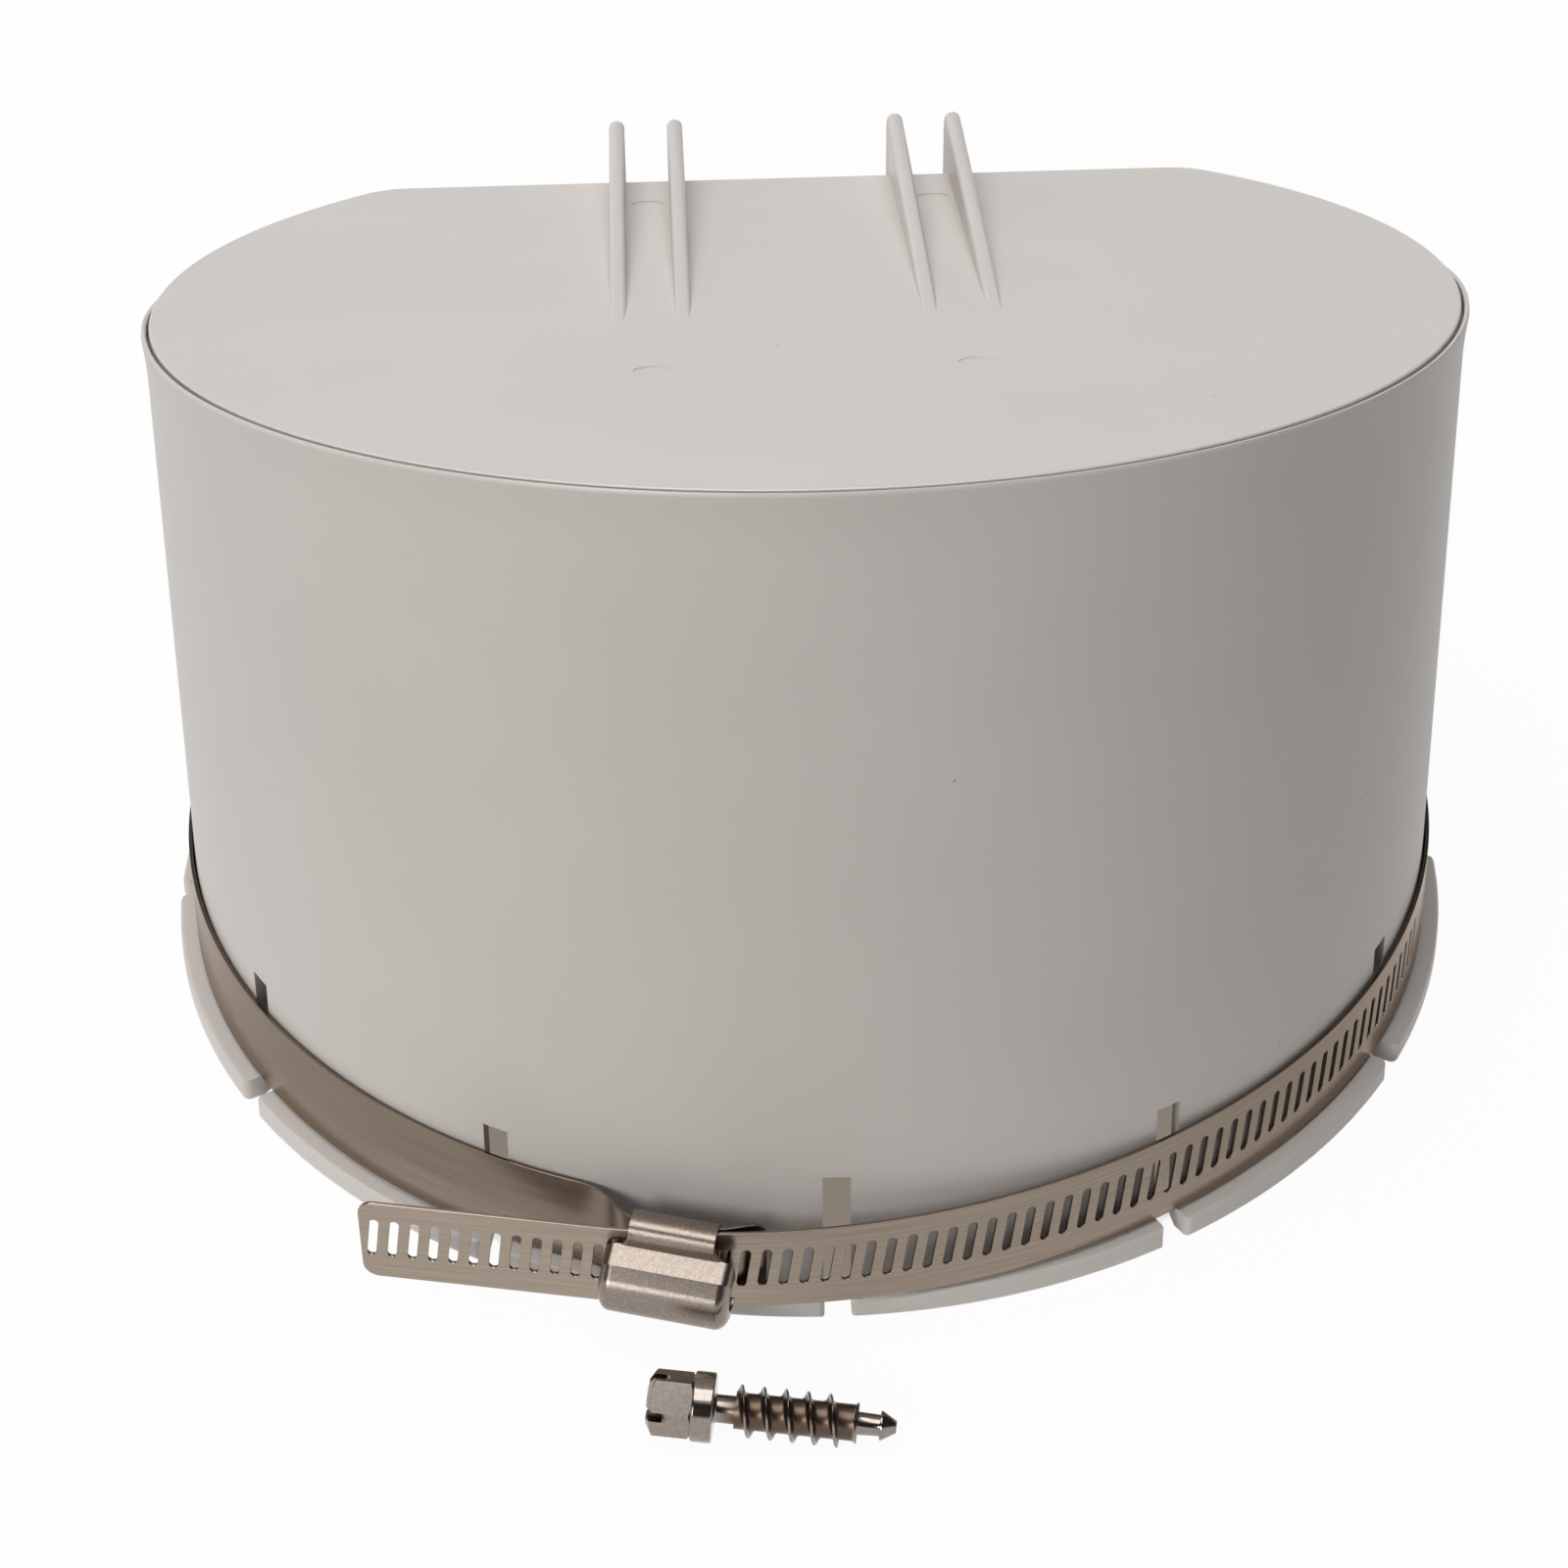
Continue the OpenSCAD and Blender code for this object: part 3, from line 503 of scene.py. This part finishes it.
def makeSleeve():
    s = sleeve
    far, over = s["far"], s["overcut"]
    bm = lathe(sleeveProfile(), s["steps"], closed=True)
    slopeRim(bm)
    # a D-shaped block fills the back, and one cut makes it the flat wall and the shelf below
    back = bmesh.new()
    bmesh.ops.create_circle(back, cap_ends=True, radius=s["backR"], segments=s["steps"],
                            matrix=Matrix.Translation((0, 0, s["socketDepth"])))
    bmesh.ops.bisect_plane(back, geom=back.verts[:] + back.edges[:] + back.faces[:], clear_inner=True,
                           plane_co=(0, s["backY"] - s["backWall"], 0), plane_no=(0, 1, 0))
    thicken(back, (0, 0, s["crown"] - s["socketDepth"]))
    for v in back.verts:
        if v.co.z > s["shelfTop"]:
            v.co.z = slopeTop(v.co.y) - s["backDrop"]
    bm = combine(bm, [back], "UNION")
    bm = combine(bm, [block((-far, s["backY"], s["shelfTop"]), (far, far, 2 * far))], "DIFFERENCE")
    bm = combine(bm, [hingeLug(x) for x in (-s["lugX"], s["lugX"])], "UNION")
    narrow, wide, r = s["slotWidth"] / 2, s["slotInside"] / 2, s["slotRound"]
    side = [(s["socketR"] - s["slotIn"], wide), (s["skirtR"], narrow)]  # the slots widen inwards
    side += arc((s["flangeR"] - r, narrow + r), r, -90, 0, 6)
    side += [(s["flangeR"] + s["slotOut"], narrow + r)]
    slot = [(x, y, -over) for x, y in side + [(x, -y) for x, y in reversed(side)]]
    cutters = [turnZ(plate(slot, (0, 0, s["slotHeight"] + over)), -90 + i * 360 / s["slots"])
               for i in range(s["slots"])]
    cutters += [rod(s["pinHole"], s["lugWidth"] + 2 * over, hingeAxis(x)) for x in (-s["lugX"], s["lugX"])]
    bm = combine(bm, cutters, "DIFFERENCE")
    return finishPiece(bm, "vent_sleeve", mouldedAbs, "base", ["sleeve"], crisp=s["crisp"])


makeSleeve()


# flap, in mm: a D plate on the slope, two pairs of fins that carry the hinge eyes
flap = {
    "radius": 81.65, "shift": 0.15, "corner": 8.0, "thickness": 2.2, "edge": 0.4,
    "finX": sleeve["lugX"], "finSpacing": 8.0, "finThickness": 2.1, "finFront": -13.0, "finRound": 0.95,
    "noseA": 66.434, "noseH": 2.6, "noseR": 5.0, "eyeR": 4.2, "eyeHole": 1.55,
    "markD": 4.6, "markDepth": 0.12, "markA": (-35.3, 48.9), "clear": 0.6, "overcut": 1.0, "crisp": 24.0,
}  # A runs back along the slope, H stands off it
onSlope = Matrix.Translation((0, 0, sleeve["crown"])) @ Matrix.Rotation(-slopeAngle, 4, "X")


def flapPlate():
    f = flap
    low = sleeve["backY"] - f["corner"]
    cornerX = math.sqrt((f["radius"] - f["corner"]) ** 2 - (low - f["shift"]) ** 2)
    turn = math.degrees(math.atan2(low - f["shift"], cornerX))
    points = arc((0, f["shift"]), f["radius"], -180 - turn, turn, 180)
    points += arc((cornerX, low), f["corner"], turn, 90, 8)[1:]
    points += arc((-cornerX, low), f["corner"], 90, 180 - turn, 8)[:-1]
    bm = plate([(x, y, 0) for x, y in points], (0, 0, -f["thickness"] / math.cos(slopeAngle)))
    bevelSharp(bm, f["edge"], 3, 60)
    for v in bm.verts:
        v.co.z += slopeTop(v.co.y)
    return bm


def fin(x):  # side outline in the slope frame, then its edges rounded over
    f = flap
    bury = -f["thickness"] / 2
    nose = Vector((f["noseA"], f["noseH"]))
    eye = (onSlope.inverted() @ Vector((x, hingeY, hingeZ))).yz
    away = nose - Vector((f["finFront"], 0))
    rise = math.atan2(away.y, away.x) + math.asin(f["noseR"] / away.length)
    arm = math.atan2((eye - nose).y, (eye - nose).x)
    lean = math.acos((f["noseR"] - f["eyeR"]) / (eye - nose).length)
    clearY = sleeve["backY"] + f["clear"]
    points = [(f["finFront"] + bury / math.tan(rise), bury)]
    points += arc(nose, f["noseR"], math.degrees(rise) + 90, math.degrees(arm + lean), 20)
    points += arc(eye, f["eyeR"], math.degrees(arm + lean), math.degrees(slopeAngle) - 180, 24)
    points += [((clearY - bury * math.sin(slopeAngle)) / math.cos(slopeAngle), bury)]
    bm = plate([(x - f["finThickness"] / 2, a, h) for a, h in points], (f["finThickness"], 0, 0))

    def showing(e):  # an edge of either side face, above the buried foot
        level = abs(e.verts[0].co.x - e.verts[1].co.x) < 1e-5
        return level and max(v.co.z for v in e.verts) > bury + 0.01
    bevelSharp(bm, f["finRound"], 4, 60, showing, clamp=False)
    bmesh.ops.transform(bm, matrix=onSlope, verts=bm.verts[:])
    return bm


def makeFlap():
    f = flap
    pairs = [s * f["finX"] + q * f["finSpacing"] / 2 for s in (-1, 1) for q in (-1, 1)]
    bm = combine(flapPlate(), [fin(x) for x in pairs], "UNION")
    over = f["overcut"]
    through = f["finSpacing"] + 2 * (f["finThickness"] + over)
    cutters = [rod(f["eyeHole"], through, hingeAxis(s * f["finX"])) for s in (-1, 1)]
    cutters += [rod(f["markD"] / 2, 2 * over,
                    onSlope @ Matrix.Translation((s * f["finX"], a, over - f["markDepth"])))
                for s in (-1, 1) for a in f["markA"]]
    bm = combine(bm, cutters, "DIFFERENCE")
    return finishPiece(bm, "vent_flap", mouldedAbs, "flap", ["flap"], crisp=f["crisp"])


makeFlap()


# hinge pins, in mm: cut wire, its ends broken with a file
pin = {"radius": 1.5, "length": 11.7, "edge": 0.3}


def makePin(name, node, x):
    half, r, edge = pin["length"] / 2, pin["radius"], pin["edge"]
    bm = lathe([(0, -half), (r - edge, -half)] + arc((r - edge, -half + edge), edge, -90, 0, 4)[1:]
               + arc((r - edge, half - edge), edge, 0, 90, 4) + [(0, half)], 40)
    bmesh.ops.transform(bm, verts=bm.verts[:], matrix=hingeAxis(x))
    return finishPiece(bm, name, drawnSteel, "base", [node])


makePin("left_hinge_pin", "hinge_pin_left", -flap["finX"])
makePin("right_hinge_pin", "hinge_pin_right", flap["finX"])


# clamp band, in mm: punched flat, given its thickness, then bent along its route
band = {
    "width": 12.7, "thickness": 0.5, "edge": 0.1, "middle": 10.05, "radius": 83.4,
    "tailOff": 89.4, "tailFacing": -101.7, "tailLength": 29.8, "easeR": 96.9,
    "tilt": 3.5, "tiltFade": 0.6, "endRound": 2.0, "firstSlot": 1.6, "pitch": 2.55, "slots": 64,
    "slotWidth": 1.15, "slotHeight": 6.2, "slotUp": 0.4, "slotLean": 7.5,
    "station": 9.0, "skew": 8.0, "coverLength": 16.2, "underY": 1.8, "under": 4.3,
    "joggleIn": 4.0, "joggleOut": 9.0, "hookR": 6.0, "hookSweep": 24.0, "hookLength": 4.5,
    "rows": (1, 0.62, 0.3, 0, -0.3, -0.62, -1), "step": 1.5,  # mesh rows as shares of half the width
}


def direction(degrees):
    return Vector((math.cos(math.radians(degrees)), math.sin(math.radians(degrees))))


def bandRoute():
    b = band
    normal, along = direction(b["tailFacing"]), direction(b["tailFacing"] + 90)
    # easeC: centre of the arc that leads from the straight tail onto the full turn
    easeBy = b["easeR"] - b["radius"]
    easeN = b["tailOff"] - b["easeR"]
    easeT = -math.sqrt(easeBy ** 2 - easeN ** 2)
    easeC = easeN * normal + easeT * along
    easeFrom = math.degrees(math.atan2(-easeC.y, -easeC.x))
    easeLength = math.radians(easeFrom - b["tailFacing"]) * b["easeR"]
    tailEnd = b["tailOff"] * normal + (easeT - b["tailLength"]) * along
    # origin, hx and hy: the housing's middle on that arc, along it and in towards the axis
    housingA = b["tailFacing"] + math.degrees(b["station"] / b["easeR"])
    turn = housingA + 90 - b["skew"]
    origin = easeC + (b["easeR"] + b["thickness"] / 2) * direction(housingA)
    hx, hy = direction(turn), direction(turn + 90)
    a = origin - b["under"] * hx + (b["underY"] + b["joggleIn"]) * hy
    # c: centre of the joggle's outer bend, which touches its inner bend about a and the full turn
    reachA, reachB = b["joggleIn"] + b["joggleOut"], b["radius"] + b["joggleOut"]
    far = a.length
    u = -a / far
    run = (far ** 2 + reachA ** 2 - reachB ** 2) / (2 * far)
    c = a + run * u + math.sqrt(reachA ** 2 - run ** 2) * Vector((-u.y, u.x))
    joggleTurn = math.degrees(math.atan2(c.y - a.y, c.x - a.x))
    land = math.degrees(math.atan2(c.y, c.x))
    hookC = origin + b["under"] * hx + (b["underY"] + b["hookR"]) * hy
    hookO = hookC + b["hookR"] * direction(turn + b["hookSweep"] - 90)
    fullTilt = b["tailLength"] + b["station"] + b["coverLength"] / 2

    def bend(centre, radius, start, end):  # length of an arc and its point at a part u
        sign = 1 if end > start else -1
        return (abs(math.radians(end - start)) * radius,
                lambda u: (centre + radius * direction(start + (end - start) * u),
                           start + (end - start) * u + 90 * sign))

    def straight(start, heading, length):  # the same for a straight leg
        return length, lambda u: (start + u * length * direction(heading), heading)

    legs = [straight(tailEnd, b["tailFacing"] + 90, b["tailLength"]),
            bend(easeC, b["easeR"], b["tailFacing"], easeFrom),
            bend(Vector((0, 0)), b["radius"], easeFrom, land + 360),
            bend(c, b["joggleOut"], land + 180, joggleTurn + 180),
            bend(a, b["joggleIn"], joggleTurn, turn - 90),
            straight(origin - b["under"] * hx + b["underY"] * hy, turn, 2 * b["under"]),
            bend(hookC, b["hookR"], turn - 90, turn + b["hookSweep"] - 90),
            straight(hookO, turn + b["hookSweep"], b["hookLength"])]

    def lean(s, leg, u):  # degrees of tilt and the share of the lift under the housing
        if leg <= 2:  # tail, ease and full turn; 3 and 4 are the joggle
            return b["tilt"] * (1 - ramp01(s, fullTilt, fullTilt + b["tiltFade"] * easeLength)), 0.0
        share = {3: 0.5 * u, 4: 0.5 + 0.5 * u}.get(leg, 1.0)
        return b["tilt"] * share, share
    return legs, lean, origin, turn


bandLegs, bandLean, housingOrigin, housingTurn = bandRoute()
bandLength = sum(length for length, point in bandLegs)


def onBand(s, w, n):  # a point of the flat strip, carried to its place on the route
    start, leg = 0.0, 0
    while leg < len(bandLegs) - 1 and s > start + bandLegs[leg][0]:
        start += bandLegs[leg][0]
        leg += 1
    u = (s - start) / bandLegs[leg][0]
    point, heading = bandLegs[leg][1](u)
    tilt, share = bandLean(s, leg, u)
    out, tilt = direction(heading - 90), math.radians(tilt)
    lift = band["underY"] * math.sin(math.radians(band["tilt"])) * share
    upward = Vector((out.x * math.sin(tilt), out.y * math.sin(tilt), math.cos(tilt)))
    face = Vector((out.x * math.cos(tilt), out.y * math.cos(tilt), -math.sin(tilt)))
    return Vector((point.x, point.y, band["middle"] + lift)) + w * upward + n * face


def slotOutline(bm, s):  # a long round-ended hole that leans along the strip
    b = band
    r, half = b["slotWidth"] / 2, (b["slotHeight"] - b["slotWidth"]) / 2
    points = arc((0, half), r, 0, 180, 7) + arc((0, -half), r, 180, 360, 7)
    lean = Matrix.Rotation(math.radians(-b["slotLean"]), 2)
    moved = [lean @ Vector(p) + Vector((s, b["slotUp"])) for p in points]
    return outline(bm, [(p.x, p.y, 0) for p in moved])


def makeBand():
    b = band
    half, r = b["width"] / 2, b["endRound"]
    levels = [half * k for k in b["rows"]]
    bm = bmesh.new()
    slotted = b["firstSlot"] + (b["slots"] - 0.5) * b["pitch"]
    last = bandLength - r
    tailSide = arc((r, half - r), r, 90, 180, 6) + arc((r, r - half), r, 180, 270, 6)
    hookSide = arc((last, r - half), r, 270, 360, 6) + arc((last, half - r), r, 0, 90, 6)
    for i in range(b["slots"]):  # one cell round each slot
        s = b["firstSlot"] + i * b["pitch"]
        cell = [(s - b["pitch"] / 2, w) for w in levels] if i else tailSide
        cell = cell + [(s + b["pitch"] / 2, w) for w in reversed(levels)]
        edges = outline(bm, [(x, w, 0) for x, w in cell]) + slotOutline(bm, s)
        bmesh.ops.triangle_fill(bm, use_beauty=True, use_dissolve=False, edges=edges, normal=(0, 0, 1))
    columns = round((last - slotted) / b["step"])
    wide = (last - slotted) / columns
    start = outline(bm, [(slotted, w, 0) for w in levels], closed=False)
    for i in range(columns):  # the plain stretch, pulled out column by column
        grown = bmesh.ops.extrude_edge_only(bm, edges=start)["geom"]
        bmesh.ops.translate(bm, vec=(wide, 0, 0),
                            verts=[g for g in grown if isinstance(g, bmesh.types.BMVert)])
        start = [g for g in grown if isinstance(g, bmesh.types.BMEdge)]
    edges = outline(bm, [(last, w, 0) for w in levels] + [(x, w, 0) for x, w in hookSide[1:-1]])
    bmesh.ops.triangle_fill(bm, use_beauty=True, use_dissolve=False, edges=edges, normal=(0, 0, 1))
    bmesh.ops.remove_doubles(bm, verts=bm.verts[:], dist=1e-3)
    bmesh.ops.recalc_face_normals(bm, faces=bm.faces[:])
    thicken(bm, (0, 0, b["thickness"]))
    bmesh.ops.translate(bm, vec=(0, 0, -b["thickness"] / 2), verts=bm.verts[:])
    bevelSharp(bm, b["edge"], 2, 60)
    strip = bm.loops.layers.uv.new("strip")
    for face in bm.faces:
        for loop in face.loops:
            loop[strip].uv = (loop.vert.co.x * mm, loop.vert.co.y * mm)
    for v in bm.verts:
        v.co = onBand(v.co.x, v.co.y, v.co.z)
    return finishPiece(bm, "clamp_band_strip", rolledSteel, "base", ["clamp_band"])


makeBand()


def loft(rings):  # closed outlines bridged in a row and capped
    bm = bmesh.new()
    loops = [outline(bm, ring) for ring in rings]
    for a, b in zip(loops, loops[1:]):
        bmesh.ops.bridge_loops(bm, edges=a + b)
    for end in (loops[0], loops[-1]):
        bmesh.ops.edgeloop_fill(bm, edges=end)
    bmesh.ops.recalc_face_normals(bm, faces=bm.faces[:])
    return bm


# clamp housing, in mm and in its own frame: x along the band, y towards the axis, z up
housing = {
    "sheet": 0.7, "wormY": -2.4, "strapLength": 10.6,
    "strapOut": -0.75, "strapDepth": 3.05, "tall": 13.5, "fold": 1.9, "roll": 3.5,
    "cover": [(-1.2, 4.44, 0.1), (-4.1, 3.4, 0.25), (-6.2, 1.4, 3.0), (-6.5, -2.2, 3.0),
              (-4.6, -4.0, 1.6), (-1.2, -4.05, 0.1)],  # y, z and corner radius
    "round": 1.6, "drawIn": 0.4, "hollow": 0.86, "hollowIn": 0.3,  # ends of the cover, and its hollow
    "headHole": 1.95, "tipHole": 1.55, "holeDepth": 4.0,
    "shoulderX": 7.4, "shoulderZ": 6.3, "shoulderLow": 3.8, "shoulderLap": 0.5, "skin": 0.01,
    "windowX": 0.1, "windowOut": -2.0, "windowIn": 0.4, "windowZ": 3.0,  # where the worm meets the band
    "overcut": 6.0, "edge": 0.14,
}
inHousing = (Matrix.Translation((housingOrigin.x, housingOrigin.y, band["middle"]))
             @ Matrix.Rotation(math.radians(housingTurn), 4, "Z")
             @ Matrix.Rotation(math.radians(band["tilt"]), 4, "X")
             @ Matrix.Rotation(math.radians(housing["roll"]), 4, "Y"))


def rounded(corners, steps=5):  # outline with each corner (a, b, radius) turned on an arc
    points = []
    for i, (a, b, r) in enumerate(corners):
        here = Vector((a, b))
        before = (Vector(corners[i - 1][:2]) - here).normalized()
        after = (Vector(corners[(i + 1) % len(corners)][:2]) - here).normalized()
        half = before.angle(after) / 2
        centre = here + (before + after).normalized() * r / math.sin(half)
        start = here + before * r / math.tan(half) - centre
        end = here + after * r / math.tan(half) - centre
        turn = start.angle_signed(end)
        points += [tuple(centre + Matrix.Rotation(-turn * k / steps, 2) @ start) for k in range(steps + 1)]
    return points


def makeHousing():
    h = housing
    t, half, long = h["sheet"], h["strapLength"] / 2, band["coverLength"] / 2
    front, back = h["strapOut"], h["strapOut"] + h["strapDepth"]
    top = h["tall"] / 2

    def loop(grow, r):  # section of the strap round the two band layers
        return rounded([(front - grow, top + grow, r), (front - grow, -top - grow, r),
                        (back + grow, -top - grow, r), (back + grow, top + grow, r)])
    strap = plate([(-half, y, z) for y, z in loop(t, h["fold"])], (2 * half, 0, 0))
    section = rounded(h["cover"])
    seat = h["cover"][0][0]

    def coverRings(reach, size, shift):  # sections of the cover, drawn in towards its two ends
        rings = []
        for side, angles in ((-1, range(90, -1, -15)), (1, range(0, 91, 15))):
            for a in angles:
                x = side * (reach - h["round"] * (1 - math.sin(math.radians(a))))
                k = size - h["drawIn"] * (1 - math.cos(math.radians(a)))
                rings.append([(x, seat + shift + (y - seat) * k, z * k) for y, z in section])
        return rings
    wormAxis = [Matrix.Translation((x, h["wormY"], 0)) @ Matrix.Rotation(math.pi / 2, 4, "Y")
                for x in (long, -long)]
    holes = [rod(h[hole], h["holeDepth"], place) for hole, place in zip(("headHole", "tipHole"), wormAxis)]
    hollow = loft(coverRings(long - t, h["hollow"], h["hollowIn"]))
    cover = combine(loft(coverRings(long, 1, 0)), [hollow] + holes, "DIFFERENCE")
    over, skin = h["overcut"], h["skin"]
    cavity = plate([(-half - over, y, z) for y, z in loop(0, h["fold"] - t)], (2 * (half + over), 0, 0))
    strap = combine(strap, [cavity], "DIFFERENCE")
    pieces = [cover]
    lapX, low, high = half - h["shoulderLap"], h["shoulderLow"], h["shoulderZ"]
    flare = [(lapX, high), (lapX, low)]
    flare += [(half + (h["shoulderX"] - half) * (1 - math.cos(a)), high - (high - low) * math.sin(a))
              for a in [math.pi / 2 * (1 - k / 8) for k in range(9)]]
    for side in (-1, 1):  # the front sheet flares from the strap to the ends of the cover
        pieces.append(plate([(side * x, front - t + skin, z) for x, z in flare], (0, t - 2 * skin, 0)))
    bm = combine(strap, pieces, "UNION")
    windowX, windowZ = half + h["windowX"], h["windowZ"]
    window = block((-windowX, h["windowOut"], -windowZ), (windowX, front + h["windowIn"], windowZ))
    bm = combine(bm, [window], "DIFFERENCE")
    bmesh.ops.transform(bm, matrix=inHousing, verts=bm.verts[:])
    return finishPiece(bm, "clamp_housing_sheet", pressedSteel, "base", ["clamp_housing"],
                       h["edge"])


makeHousing()


# worm screw, in mm along its own Z from the head end
screw = {
    "flats": 7.0, "hexLength": 5.4, "hexTurn": 36.0, "hexBury": 0.3, "topR": 2.7, "topChamfer": 1.0,
    "lowR": 3.5, "lowChamfer": 0.4, "recessTurn": 75, "recess": 1.5, "recessDepth": 2.6, "overcut": 1.0,
    "trimClear": 0.2,  # the trim stays clear of the hexagon's corners, so that only its chamfers cut
    "collarR": 4.25, "collarEnd": 8.0, "edge": 0.3, "neckR": 1.7, "neckFillet": 0.4,
    "coreR": 2.2, "crestR": 3.2, "wormFrom": 10.5, "wormTo": 23.1, "wormLap": 0.4, "skin": 0.01,
    "pitch": 2.65, "firstCrest": 12.68, "steps": 48, "brownR": 2.55, "brightR": 3.1, "brownTo": 24.8,
    # (radius, height) of the shoulder that ends the worm, of the tip and of its barb
    "shoulder": [(2.19, 24.6), (2.3, 24.84), (2.5, 25.02), (2.42, 25.2)],
    "tip": [(1.4, 25.2), (1.3, 27.8), (1.75, 27.85), (1.8, 28.05), (0.75, 29.8), (0, 29.8)],
    # half section of a crest: share of its height, half its width there
    "crest": [(0.0, 0.75), (0.1, 0.5), (0.4, 0.27), (0.78, 0.19), (0.93, 0.13), (1.0, 0.0)],
    "place": (-23.6, -103.9, 4.741), "dip": 3.576, "turn": -7.6, "rounding": 0.12,
}
onGround = (Matrix.Translation(screw["place"]) @ Matrix.Rotation(math.radians(screw["turn"]), 4, "Z")
            @ Matrix.Rotation(math.radians(screw["dip"]), 4, "Y") @ Matrix.Rotation(math.pi / 2, 4, "Y"))


def screwHead():  # a chamfered hexagon with two crossed slots
    w = screw
    long, bury = w["hexLength"], w["hexBury"]
    corner = w["flats"] / 2 / math.cos(math.pi / 6)
    outside = corner + w["trimClear"]
    bm = rod(corner, long + 2 * bury, Matrix.Translation((0, 0, long / 2 + bury / 2))
             @ Matrix.Rotation(math.radians(w["hexTurn"]), 4, "Z"), 6)
    trim = lathe([(0, 0), (w["topR"], 0), (outside, w["topChamfer"]), (outside, long - w["lowChamfer"]),
                  (w["lowR"], long), (w["lowR"], long + bury), (0, long + bury)], 72)
    bm = combine(bm, [trim], "INTERSECT")
    r, wide = w["recess"] / 2, w["flats"]
    profile = [(r, -w["overcut"]), (-r, -w["overcut"])] + arc((0, w["recessDepth"] - r), r, 180, 0, 8)
    groove = [(x, -wide, z) for x, z in profile]
    recess = [turnZ(plate(groove, (0, 2 * wide, 0)), w["recessTurn"] + turn) for turn in (0, 90)]
    return combine(bm, recess, "DIFFERENCE")


def screwShank():  # collar, neck, worm core, tip and barb
    w = screw
    c, r = w["edge"], w["collarR"] - w["edge"]
    foot, fillet, lap = w["hexLength"] - w["skin"], w["neckFillet"], w["wormTo"] - w["wormLap"]
    points = [(0, foot), (r, foot)] + arc((r, w["hexLength"] + c), c, -90, 0, 4)
    points += arc((r, w["collarEnd"] - c), c, 0, 90, 4)
    points += arc((w["neckR"] + fillet, w["collarEnd"] + fillet), fillet, 270, 180, 4)
    points += [(w["neckR"], lap), (w["coreR"] - w["skin"], lap)]
    return lathe(points + w["shoulder"] + w["tip"], 64)


def worm():  # core and crest as one profile wound once, each turn meeting the next
    w = screw
    height = w["crestR"] - w["coreR"]
    up = [(w["coreR"] + k * height, -wide) for k, wide in w["crest"]]
    crest = up + [(r, -z) for r, z in reversed(up[:-1])]
    turns = range(-2, round((w["wormTo"] - w["wormFrom"]) / w["pitch"]) + 2)
    profile = [(r, 0, w["firstCrest"] + i * w["pitch"] + z) for i in turns for r, z in crest]
    bm = bmesh.new()
    edges = outline(bm, profile, closed=False)
    bmesh.ops.spin(bm, geom=bm.verts[:] + edges, cent=(0, 0, 0), axis=(0, 0, 1), angle=math.tau,
                   dvec=(0, 0, w["pitch"] / w["steps"]), steps=w["steps"], use_merge=False)
    bmesh.ops.remove_doubles(bm, verts=bm.verts[:], dist=1e-3)
    for z, side in ((w["wormFrom"], -1), (w["wormTo"], 1)):
        bmesh.ops.bisect_plane(bm, geom=bm.verts[:] + bm.edges[:] + bm.faces[:], clear_outer=True,
                               plane_co=(0, 0, z), plane_no=(0, 0, side))
        bmesh.ops.holes_fill(bm, edges=[e for e in bm.edges if e.is_boundary
                             and all(abs(v.co.z - z) < 1e-4 for v in e.verts)], sides=0)
    bmesh.ops.recalc_face_normals(bm, faces=bm.faces[:])
    return bm


def makeScrew():
    w = screw
    bm = combine(screwHead(), [screwShank(), worm()], "UNION")
    crest = bm.verts.layers.float.new("crest")  # 1 on bright steel, 0 on the brown core
    for v in bm.verts:
        onWorm = w["wormFrom"] - w["skin"] < v.co.z < w["brownTo"]
        v[crest] = ramp01(v.co.xy.length, w["brownR"], w["brightR"]) if onWorm else 1.0
    bmesh.ops.transform(bm, matrix=onGround, verts=bm.verts[:])
    return finishPiece(bm, "worm_screw", turnedSteel, "base", ["clamp_screw"], w["rounding"])


makeScrew()
